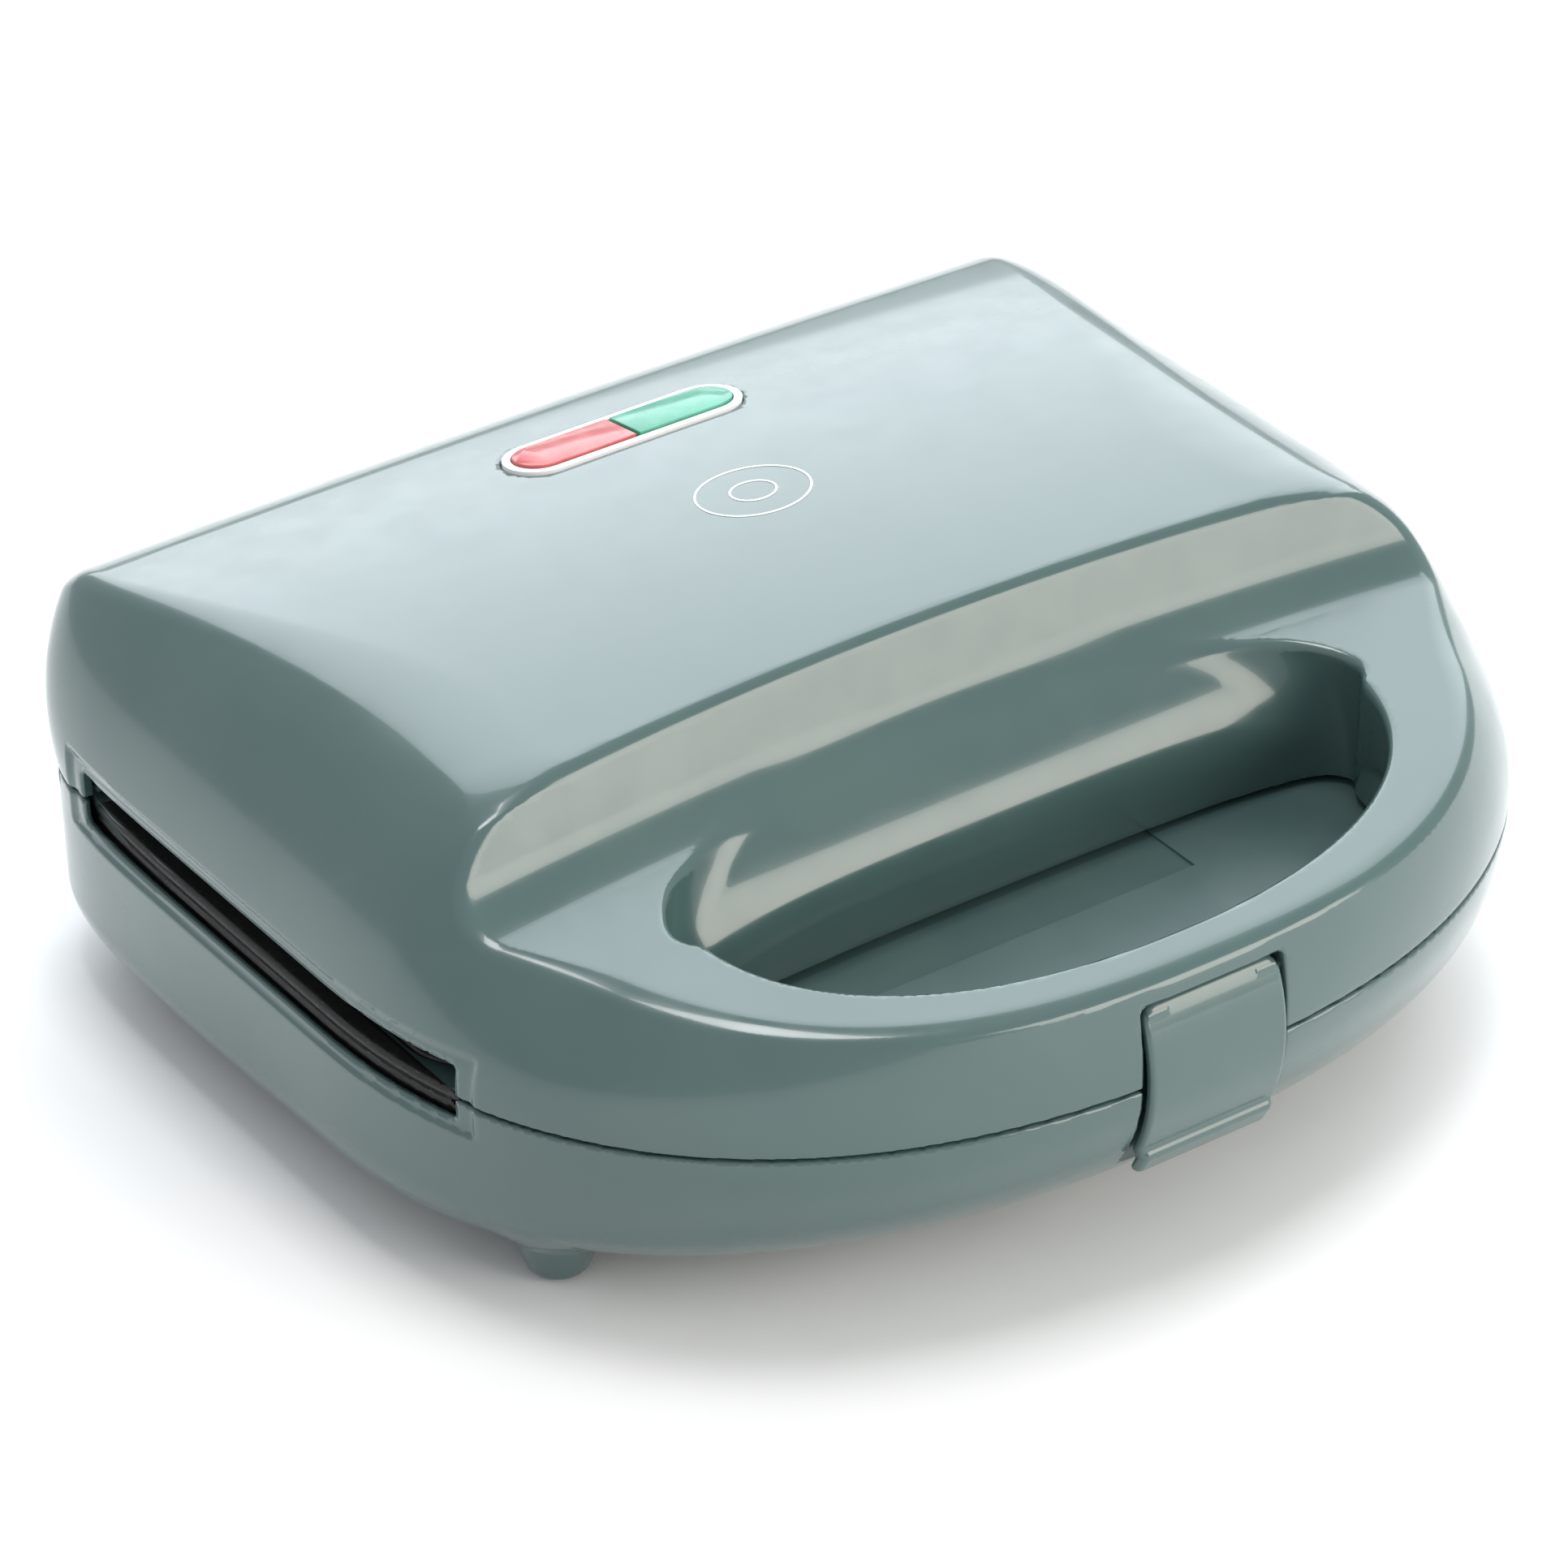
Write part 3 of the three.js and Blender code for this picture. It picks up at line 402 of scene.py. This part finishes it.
def edge_faces(inside, values, number, axis):
    """The faces across the grid's edges along one axis, and where the surface crosses those edges."""
    others = [a for a in range(3) if a != axis]
    one = np.take(inside, range(0, inside.shape[axis] - 1), axis)
    two = np.take(inside, range(1, inside.shape[axis]), axis)
    edge = np.argwhere(one != two)
    keep = np.all([(edge[:, a] > 0) & (edge[:, a] < number.shape[a]) for a in others], axis=0)
    edge = edge[keep]
    ring = []
    for p, q in ((1, 1), (0, 1), (0, 0), (1, 0)):
        corner = edge.copy()
        corner[:, others[0]] -= p
        corner[:, others[1]] -= q
        ring.append(number[tuple(corner.T)])
    quad = np.stack(ring, axis=1)
    outward = one[tuple(edge.T)] == (axis != 1)
    quad[~outward] = quad[~outward][:, ::-1]
    end = edge.copy()
    end[:, axis] += 1
    va, vb = values[tuple(edge.T)], values[tuple(end.T)]
    point = edge.astype(float)
    point[:, axis] += va / (va - vb)
    return quad, point


def unit(vectors):
    return vectors / np.maximum(np.linalg.norm(vectors, axis=1), 1e-9)[:, None]


def gradient(field, points, reach=0.05):
    slopes = []
    for axis in range(3):
        shift = np.zeros(3)
        shift[axis] = reach
        slopes.append((field(*(points + shift).T) - field(*(points - shift).T)) / (2 * reach))
    return np.stack(slopes, axis=1)


def settle(field, points, limit):
    """Moves points onto the surface, each by at most the limit."""
    start = points.copy()
    for _ in range(2):
        slope = gradient(field, points)
        size = np.maximum((slope ** 2).sum(1), 0.05)
        points = points - (field(*points.T) / size)[:, None] * slope
        away = points - start
        far = np.linalg.norm(away, axis=1)
        points = start + away * np.minimum(1, limit / np.maximum(far, 1e-9))[:, None]
    return points


def place(points):
    """Shape millimetres to the row frame in metres."""
    return (points + np.array([0, MIDDLE_Y, SEAM])) * MM


def unplace(points):
    return points / MM - np.array([0, MIDDLE_Y, SEAM])


def new_object(name, mesh, body, slot_name, stands_for=()):
    piece = bpy.data.objects.new(name, mesh)
    bpy.context.scene.collection.objects.link(piece)
    mesh.materials.append(FINISH[slot_name])
    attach(piece, body)
    if stands_for:
        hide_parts(*stands_for)
    return piece


def mesh_of(name, points, faces):
    mesh = bpy.data.meshes.new(name)
    mesh.from_pydata(place(points).tolist(), [], faces.tolist())
    mesh.validate()
    return mesh


def points_of(mesh):
    flat = np.empty(len(mesh.vertices) * 3)
    mesh.vertices.foreach_get("co", flat)
    return unplace(flat.reshape(-1, 3))


def thinned(mesh, keep):
    """The mesh with flat stretches in larger faces."""
    faces = sum(len(p.vertices) - 2 for p in mesh.polygons)
    if faces <= keep:
        return mesh
    helper = bpy.data.objects.new("helper", mesh)
    bpy.context.scene.collection.objects.link(helper)
    thin = helper.modifiers.new("thin", "DECIMATE")
    thin.ratio = keep / faces
    evaluated = helper.evaluated_get(bpy.context.evaluated_depsgraph_get())
    result = bpy.data.meshes.new_from_object(evaluated)
    bpy.data.objects.remove(helper)
    return result


def field_piece(name, field, low, high, step, keep, body, slot_name, stands_for=()):
    """A piece whose surface is where the field is zero, shaded with the field's own normals."""
    points, faces = net(field, grid_values(field, low, high, step), low, step)
    points = settle(field, points, 0.3 * step)
    mesh = thinned(mesh_of(name, points, faces), keep)
    points = settle(field, points_of(mesh), 0.3 * step)
    mesh.vertices.foreach_set("co", place(points).ravel())
    normals = unit(gradient(field, points))
    mesh.polygons.foreach_set("use_smooth", np.ones(len(mesh.polygons), bool))
    mesh.update()
    mesh.normals_split_custom_set_from_vertices(normals.tolist())
    return new_object(name, mesh, body, slot_name, stands_for)


# ---- materials ----
def srgb(r, g, b):
    """A colour from screen values up to 255 to the linear values that the shader takes."""
    return tuple(((c / 255 + 0.055) / 1.055) ** 2.4 for c in (r, g, b)) + (1,)


class Recipe:
    """Builds one procedural material, node by node, in object coordinates (metres)."""

    def __init__(self, name):
        self.material = bpy.data.materials.new(name)
        self.material.use_nodes = True
        self.tree = self.material.node_tree
        self.shader = self.tree.nodes["Principled BSDF"]
        self.place = self.add("ShaderNodeTexCoord").outputs["Object"]

    def add(self, kind, **inputs):
        node = self.tree.nodes.new(kind)
        for key, value in inputs.items():
            self.feed(node.inputs[key.replace("_", " ")], value)
        return node

    def feed(self, socket, value):
        if isinstance(value, bpy.types.NodeSocket):
            self.tree.links.new(value, socket)
        else:
            socket.default_value = value

    def set(self, name, value):
        self.feed(self.shader.inputs[name], value)

    def noise(self, size, detail=2.0, stretch=(1, 1, 1)):
        """Cloudy noise whose features are about this size, in millimetres."""
        place = self.place
        if stretch != (1, 1, 1):
            place = self.add("ShaderNodeMapping", Vector=place, Scale=stretch).outputs["Vector"]
        node = self.add("ShaderNodeTexNoise", Vector=place, Scale=1000 / size, Detail=detail, Roughness=0.6)
        return node.outputs["Fac"]

    def between(self, factor, low, high, start=0.35, end=0.65):
        node = self.add("ShaderNodeMapRange", Value=factor)
        for key, value in (("From Min", start), ("From Max", end), ("To Min", low), ("To Max", high)):
            node.inputs[key].default_value = value
        return node.outputs["Result"]

    def blend(self, factor, one, two):
        node = self.add("ShaderNodeMix")
        node.data_type = "RGBA"
        self.feed(node.inputs["Factor"], factor)
        self.feed(node.inputs[6], one)
        self.feed(node.inputs[7], two)
        return node.outputs[2]

    def bump(self, *layers):
        """Stacks height layers, each a (height, depth in mm) pair."""
        normal = None
        for height, depth in layers:
            node = self.add("ShaderNodeBump", Height=height, Strength=1.0, Distance=depth * MM)
            if normal:
                self.feed(node.inputs["Normal"], normal)
            normal = node.outputs["Normal"]
        self.set("Normal", normal)


def moulded(name, colour, other, roughness, grain, depth, coat=0.0):
    """Moulded plastic: slightly uneven colour, cloudy gloss, fine surface grain."""
    recipe = Recipe(name)
    tint = recipe.between(recipe.noise(38, 3), 0, 1)
    recipe.set("Base Color", recipe.blend(tint, colour, other))
    smear = recipe.noise(9, 5)
    recipe.set("Roughness", recipe.between(smear, roughness * 0.85, roughness * 1.2))
    recipe.set("Coat Weight", coat)
    recipe.set("Coat Roughness", 0.06)
    recipe.bump((recipe.noise(grain, 2), depth), (recipe.noise(grain * 9, 1), depth * 1.5))
    return recipe.material


def metal(name, colour, roughness, stretch, depth):
    """Bare metal with drawing lines along one direction and dull patches."""
    recipe = Recipe(name)
    dull = recipe.between(recipe.noise(6, 4), 0, 1)
    recipe.set("Base Color", recipe.blend(dull, colour, tuple(c * 0.72 for c in colour[:3]) + (1,)))
    recipe.set("Metallic", 1.0)
    lines = recipe.noise(1.2, 3, stretch)
    recipe.set("Roughness", recipe.between(lines, roughness * 0.7, roughness * 1.35))
    recipe.bump((lines, depth))
    return recipe.material


def clear(name, colour, deep, transmission):
    """Tinted see-through plastic or glass with faint flow marks."""
    recipe = Recipe(name)
    recipe.set("Base Color", recipe.blend(recipe.between(recipe.noise(7, 3), 0, 1), colour, deep))
    recipe.set("Transmission Weight", transmission)
    recipe.set("Roughness", recipe.between(recipe.noise(3, 4), 0.1, 0.2))
    recipe.bump((recipe.noise(2.5, 2, (1, 0.3, 1)), 0.02))
    return recipe.material


def coating():
    """Dark non-stick coating with pale specks in it."""
    recipe = Recipe("non_stick_coating")
    specks = recipe.between(recipe.noise(0.5, 1), 0, 0.5, 0.62, 0.72)
    cloud = recipe.between(recipe.noise(24, 4), 0, 1)
    dark = recipe.blend(cloud, srgb(24, 24, 25), srgb(33, 32, 31))
    recipe.set("Base Color", recipe.blend(specks, dark, srgb(78, 76, 74)))
    recipe.set("Roughness", recipe.between(recipe.noise(5, 5), 0.36, 0.52))
    recipe.bump((recipe.noise(0.45, 2), 0.012), (recipe.noise(3, 2), 0.02))
    return recipe.material


SHELL = moulded("sage_gloss", srgb(66, 90, 89), srgb(70, 94, 92), 0.22, 0.8, 0.0012, 0.5)
INNER = moulded("sage_satin", srgb(64, 88, 87), srgb(70, 93, 91), 0.36, 0.5, 0.006)
COATING = coating()
STEEL = metal("drawn_steel", srgb(190, 191, 193), 0.32, (1, 0.1, 1), 0.004)
ZINC = metal("zinc_sheet", srgb(172, 176, 180), 0.38, (0.1, 1, 1), 0.006)
PLATED = metal("plated_steel", srgb(196, 196, 192), 0.28, (0.05, 1, 1), 0.004)
WHITE = moulded("white_gloss", srgb(244, 245, 245), srgb(236, 239, 240), 0.18, 0.7, 0.002, 0.4)
CERAMIC = moulded("ceramic", srgb(230, 224, 210), srgb(216, 208, 190), 0.62, 0.35, 0.02)
RED = clear("red_lens", srgb(236, 124, 124), srgb(222, 104, 108), 0.35)
GREEN = clear("green_lens", srgb(104, 202, 172), srgb(84, 186, 156), 0.35)
GLASS = clear("lamp_glass", srgb(250, 214, 178), srgb(246, 196, 150), 0.85)
RUBBER = moulded("rubber", srgb(44, 45, 46), srgb(54, 54, 54), 0.78, 0.3, 0.03)
BLACK = moulded("black_plastic", srgb(30, 31, 32), srgb(38, 38, 39), 0.45, 0.35, 0.02)

FINISH = {
    "shell": SHELL, "inner_frame": INNER, "plate_coating": COATING, "heater_steel": STEEL, "reflector": ZINC,
    "ceramic": CERAMIC, "black_plastic": BLACK, "bezel": WHITE, "lens_red": RED, "lens_green": GREEN,
    "lamp_glass": GLASS, "pin_steel": PLATED, "rubber": RUBBER}
SLOTS = {part["node"]: part["material_slot"] for part in frame["record"]["subparts"]}
for node, piece in frame["nodes"].items():
    piece.data.materials.clear()
    piece.data.materials.append(FINISH[SLOTS[node]])

# ---- the two shells ----
def shell(name, field, low_h, high_h, body, node):
    low = (-HALF_WIDTH - MARGIN, -FRONT - MARGIN, low_h)
    high = (HALF_WIDTH + MARGIN, REAR + MARGIN, high_h)
    field_piece(name, field, low, high, GRID, SHELL_FACES, body, "shell", [node])


shell("lid_shell", upper_shell, -1.5, LID_FRONT_H + MARGIN, "lid", "upper_casing")
shell("base_shell", lower_shell, -SEAM - 1, HINGE_H + 9, "base", "lower_casing")

# ---- the plates ----
PLATE_HALF, PLATE_FRONT_Y, PLATE_REAR_Y, PLATE_CORNER = 111.0, -32.0, 84.0, 12.0
PLATE_THICK, SKIRT_WALL, SKIRT_DEPTH, PLATE_EDGE = 3.0, 2.6, 7.0, 0.9
CHANNEL_INSET, CHANNEL_HALF, CHANNEL_DEPTH = 6.0, 1.3, 0.7
PITCH_X, PITCH_Y, RING, TROUGH, METAL = 70.0, 57.0, 17.5, 8.5, 2.4


def plate(x, y, h):
    """A cooking plate below its contact plane h = 0, with six ring moulds."""
    middle = (PLATE_FRONT_Y + PLATE_REAR_Y) / 2
    outline = rounded_box(x, y, 0, middle, PLATE_HALF, middle - PLATE_FRONT_Y, PLATE_CORNER)
    ring_x = x - PITCH_X * np.clip(np.round(x / PITCH_X), -1, 1)
    ring_y = np.abs(y - middle) - PITCH_Y / 2
    ring = np.hypot(np.hypot(ring_x, ring_y) - RING, h)
    slab = np.maximum(h, -PLATE_THICK - h)
    skirt = np.maximum(np.maximum(-SKIRT_WALL - outline, -SKIRT_DEPTH - h), h)
    body = round_max(outline, np.minimum(slab, skirt), PLATE_EDGE)
    channel = np.abs(outline + CHANNEL_INSET) - CHANNEL_HALF
    body = round_min(body, np.maximum(ring - TROUGH - METAL, h + 0.5), 1.5)
    body = carve(body, np.maximum(channel, -CHANNEL_DEPTH - h), 0.5)
    return carve(body, ring - TROUGH, 1.0)


def lower_plate(x, y, h):
    return plate(x, y, h + RIM)


def upper_plate(x, y, h):
    return plate(-x, y, RIM - h)


for node, field, low_h, high_h, body in (("lower_plate", lower_plate, -13.5, 2.0, "base"),
                                         ("upper_plate", upper_plate, -2.0, 13.5, "lid")):
    low = (-PLATE_HALF - 2, PLATE_FRONT_Y - 2, low_h)
    high = (PLATE_HALF + 2, PLATE_REAR_Y + 2, high_h)
    field_piece(node + "_smooth", field, low, high, GRID, PLATE_FACES, body, "plate_coating", [node])

# ---- dark liners of the side slots ----
LINER_INSET, LINER_X, LINER_H, LINER_HALF, RIB_PITCH = 3.1, 111.5, -4.3, 3.6, 2.4
LINER_GRID = 0.8


def liner(x, y, h):
    """A strip just inside the shell's outline, with shallow ribs along its outer face."""
    half, front, rear = HALF_WIDTH - LINER_INSET, FRONT - LINER_INSET, REAR - LINER_INSET
    outer = egg(x, y, half, front, rear, FRONT_POWER, REAR_POWER)
    ends = np.abs(y - SLOT_MIDDLE) - SLOT_HALF + 0.5
    block = np.maximum(np.maximum(outer, LINER_X - np.abs(x)), ends)
    ribs = 0.25 * np.cos(2 * math.pi * (h + 0.75) / RIB_PITCH)
    return round_max(block + ribs + 0.25, np.abs(h - LINER_H) - LINER_HALF, 0.5)


for side, low_x in (("left", -HALF_WIDTH), ("right", HALF_WIDTH - 12)):
    low, high = (low_x, -41.0, -9.0), (low_x + 12, 83.0, 0.8)
    field_piece("slot_liner_" + side, liner, low, high, LINER_GRID, SMALL_FACES, "base", "plate_coating")

# ---- the latch ----
CLIP_TOP, CLIP_FOLD, CLIP_SAG, CLIP_OUT, CLIP_THICK, CLIP_HALF = 15.5, -16.4, 4.0, -106.8, 2.2, 15.0
CLIP_MIDDLE, CLIP_CHORD = (CLIP_TOP + CLIP_FOLD) / 2, (CLIP_TOP - CLIP_FOLD) / 2
CLIP_EDGE = 0.9
CLIP_GRID = 0.42
PIN_Y, PIN_H = JOINTS["latch_pivot"][1] - MIDDLE_Y, JOINTS["latch_pivot"][2] - SEAM
PIN_RADIUS, PIN_GAP, EYE_RADIUS = 1.1, 0.3, 2.0


def clip_sheet(x, y, h):
    """The front sheet, bowed outwards between its top and its fold."""
    radius = (CLIP_CHORD ** 2 + CLIP_SAG ** 2) / (2 * CLIP_SAG)
    out = np.hypot(y - CLIP_OUT - radius, h - CLIP_MIDDLE) - radius
    sheet = round_max(out, -out - CLIP_THICK, CLIP_EDGE)
    face = rounded_box(x, h, 0, CLIP_MIDDLE - 0.4, CLIP_HALF, CLIP_CHORD + 0.4, 3.2)
    return round_max(sheet, face, CLIP_EDGE)


def clip_lip(x, y, h):
    """The finger lip along the fold, at a slant to the sheet."""
    across = (h - CLIP_FOLD + 0.4) * 0.5 + (y + 102.9) * 0.87
    along = (h - CLIP_FOLD + 1.6) * 0.87 - (y + 103.4) * 0.5
    lip = rounded_box(across, along, 0, 0, 1.25, 3.0, 1.2)
    return round_max(lip, np.abs(x) - CLIP_HALF, 2.0)


def clip_back(x, y, h):
    """Two arms with eyes round the pin, and the hook."""
    arm = np.abs(np.abs(x) - 12) - 2
    eye = np.maximum(arm, np.hypot(y - PIN_Y, h - PIN_H) - EYE_RADIUS)
    link = np.maximum(arm, rounded_box(y, h, -102.4, 10.0, 1.3, 4.2, 0.5))
    hook = np.maximum(rounded_box(y, h, -102.3, -14.6, 1.3, 1.2, 0.5), np.abs(x) - 8)
    return np.minimum(np.minimum(eye, link), hook)


def clip(x, y, h):
    front = round_min(clip_sheet(x, y, h), clip_lip(x, y, h), 1.2)
    body = round_min(front, clip_back(x, y, h), 0.4)
    return carve(body, np.hypot(y - PIN_Y, h - PIN_H) - PIN_RADIUS - PIN_GAP, 0.2)


CLIP_LOW, CLIP_HIGH = (-17.0, -108.5, -23.0), (17.0, -98.0, 18.0)
field_piece("latch_clip", clip, CLIP_LOW, CLIP_HIGH, CLIP_GRID, SMALL_FACES, "latch", "shell", ["latch"])


# ---- refined copies of the smaller parts ----
NODE_BODY = {node: body for body, nodes in frame["record"]["behaviour"]["bodies"].items() for node in nodes}
ROUNDING = {  # edge width by material slot, in millimetres
    "inner_frame": 0.35, "pin_steel": 0.3, "rubber": 0.5, "black_plastic": 0.6, "bezel": 0.3,
    "lens_red": 0.35, "lens_green": 0.35, "ceramic": 0.4, "reflector": 0.3}
SHARP = math.radians(32)  # edges turning more than this are rounded


def refined(node, width):
    """The node's shape with its flat faces merged and its sharp edges rounded."""
    source = frame["nodes"][node]
    mesh = source.data.copy()
    mesh.transform(source.matrix_world)
    work = bmesh.new()
    work.from_mesh(mesh)
    bmesh.ops.remove_doubles(work, verts=work.verts, dist=1e-6)
    bmesh.ops.dissolve_limit(work, angle_limit=math.radians(2), verts=work.verts, edges=work.edges)
    sharp = [edge for edge in work.edges if len(edge.link_faces) == 2 and edge.calc_face_angle(0) > SHARP]
    bmesh.ops.bevel(work, geom=sharp, offset=width * MM, segments=2, affect="EDGES", profile=0.5,
                    clamp_overlap=True)
    bmesh.ops.triangulate(work, faces=[face for face in work.faces if len(face.verts) > 4])
    work.to_mesh(mesh)
    work.free()
    mesh.materials.clear()
    mesh.polygons.foreach_set("use_smooth", np.ones(len(mesh.polygons), bool))
    mesh.set_sharp_from_angle(angle=math.radians(40))
    new_object(node + "_fine", mesh, NODE_BODY[node], SLOTS[node], [node])


for node, slot_name in SLOTS.items():
    if slot_name in ROUNDING:
        refined(node, ROUNDING[slot_name])


# ---- a plain mark of two rings, printed on the lid ----
MARK_X, MARK_Y, MARK_WIDTH, MARK_RISE, MARK_SINK = 2.5, 37.0, 0.42, 0.12, 0.02


def ring_mark(name, half_x, half_y):
    count = 72
    points, faces = [], []
    for i in range(count):
        angle = 2 * math.pi * i / count
        for grow, lift in ((-0.5, 0), (-0.5, MARK_RISE), (0.5, MARK_RISE), (0.5, 0)):
            x = MARK_X + (half_x + grow * MARK_WIDTH) * math.cos(angle)
            y = MARK_Y + (half_y + grow * MARK_WIDTH) * math.sin(angle)
            points.append((x, y, lid_top(x, y) + lift - MARK_SINK))
        a, b = 4 * i, 4 * ((i + 1) % count)
        faces += [(a + k, b + k, b + (k + 1) % 4, a + (k + 1) % 4) for k in range(4)]
    new_object(name, mesh_of(name, np.array(points), np.array(faces)), "lid", "bezel")


ring_mark("badge_outer_ring", 11.5, 9.2)
ring_mark("badge_inner_ring", 4.6, 3.7)


# ---- stage, light, camera ----
FLOOR_HALF = 6.0
AZIMUTH, ELEVATION, DISTANCE = math.radians(-35.5), math.radians(33), 1269.5
AIM_LEFT, AIM_UP = 13.77, 1.26  # the camera's aim, from the body's middle on the parting plane


def add_floor():
    signs = ((-1, -1), (1, -1), (1, 1), (-1, 1))
    corners = [(x * FLOOR_HALF, y * FLOOR_HALF, 0) for x, y in signs]
    mesh = bpy.data.meshes.new("floor")
    mesh.from_pydata(corners, [], [(0, 1, 2, 3)])
    floor = bpy.data.objects.new("floor", mesh)
    bpy.context.scene.collection.objects.link(floor)
    mesh.materials.append(moulded("floor", (0.92, 0.92, 0.925, 1), (0.93, 0.93, 0.935, 1), 0.9, 2.0, 0.0))


def add_light(name, place_m, target_m, size, energy, colour):
    data = bpy.data.lights.new(name, "AREA")
    data.shape, data.size, data.size_y = "RECTANGLE", size[0], size[1]
    data.energy, data.color = energy, colour
    lamp = bpy.data.objects.new(name, data)
    bpy.context.scene.collection.objects.link(lamp)
    lamp.location = place_m
    lamp.rotation_mode = "QUATERNION"
    lamp.rotation_quaternion = (Vector(target_m) - Vector(place_m)).to_track_quat("-Z", "Y")


def add_world():
    world = bpy.data.worlds.new("studio")
    bpy.context.scene.world = world
    world.use_nodes = True
    background = world.node_tree.nodes["Background"]
    background.inputs["Color"].default_value = (0.96, 0.98, 1, 1)
    background.inputs["Strength"].default_value = 0.7


def add_camera():
    back = Vector((math.sin(AZIMUTH) * math.cos(ELEVATION), -math.cos(AZIMUTH) * math.cos(ELEVATION),
                   math.sin(ELEVATION)))
    right = Vector((math.cos(AZIMUTH), math.sin(AZIMUTH), 0))
    up = back.cross(right)
    aim = Vector((0, MIDDLE_Y, SEAM)) - right * AIM_LEFT + up * AIM_UP
    turn = Matrix((right, up, back)).transposed().to_4x4()
    data = bpy.data.cameras.new("camera")
    data.sensor_width, data.lens = 36, 158.4
    data.clip_start, data.clip_end = 0.05, 50
    camera = bpy.data.objects.new("camera", data)
    bpy.context.scene.collection.objects.link(camera)
    camera.matrix_world = Matrix.Translation((aim + back * DISTANCE) * MM) @ turn
    bpy.context.scene.camera = camera


add_floor()
add_world()
add_light("back_box", (1.75, 2.1, 1.95), (0, 0, 0.05), (3.9, 3.0), 112, (0.88, 0.95, 1))
add_light("front_card", (0.85, -1.5, 0.66), (0, 0, 0.05), (1.35, 1.06), 23, (1, 0.94, 0.85))
add_light("overhead", (0.0, 0.1, 2.6), (0, 0, 0), (0.9, 0.9), 24, (1, 1, 1))
add_camera()
bpy.context.scene.view_settings.view_transform = "Standard"
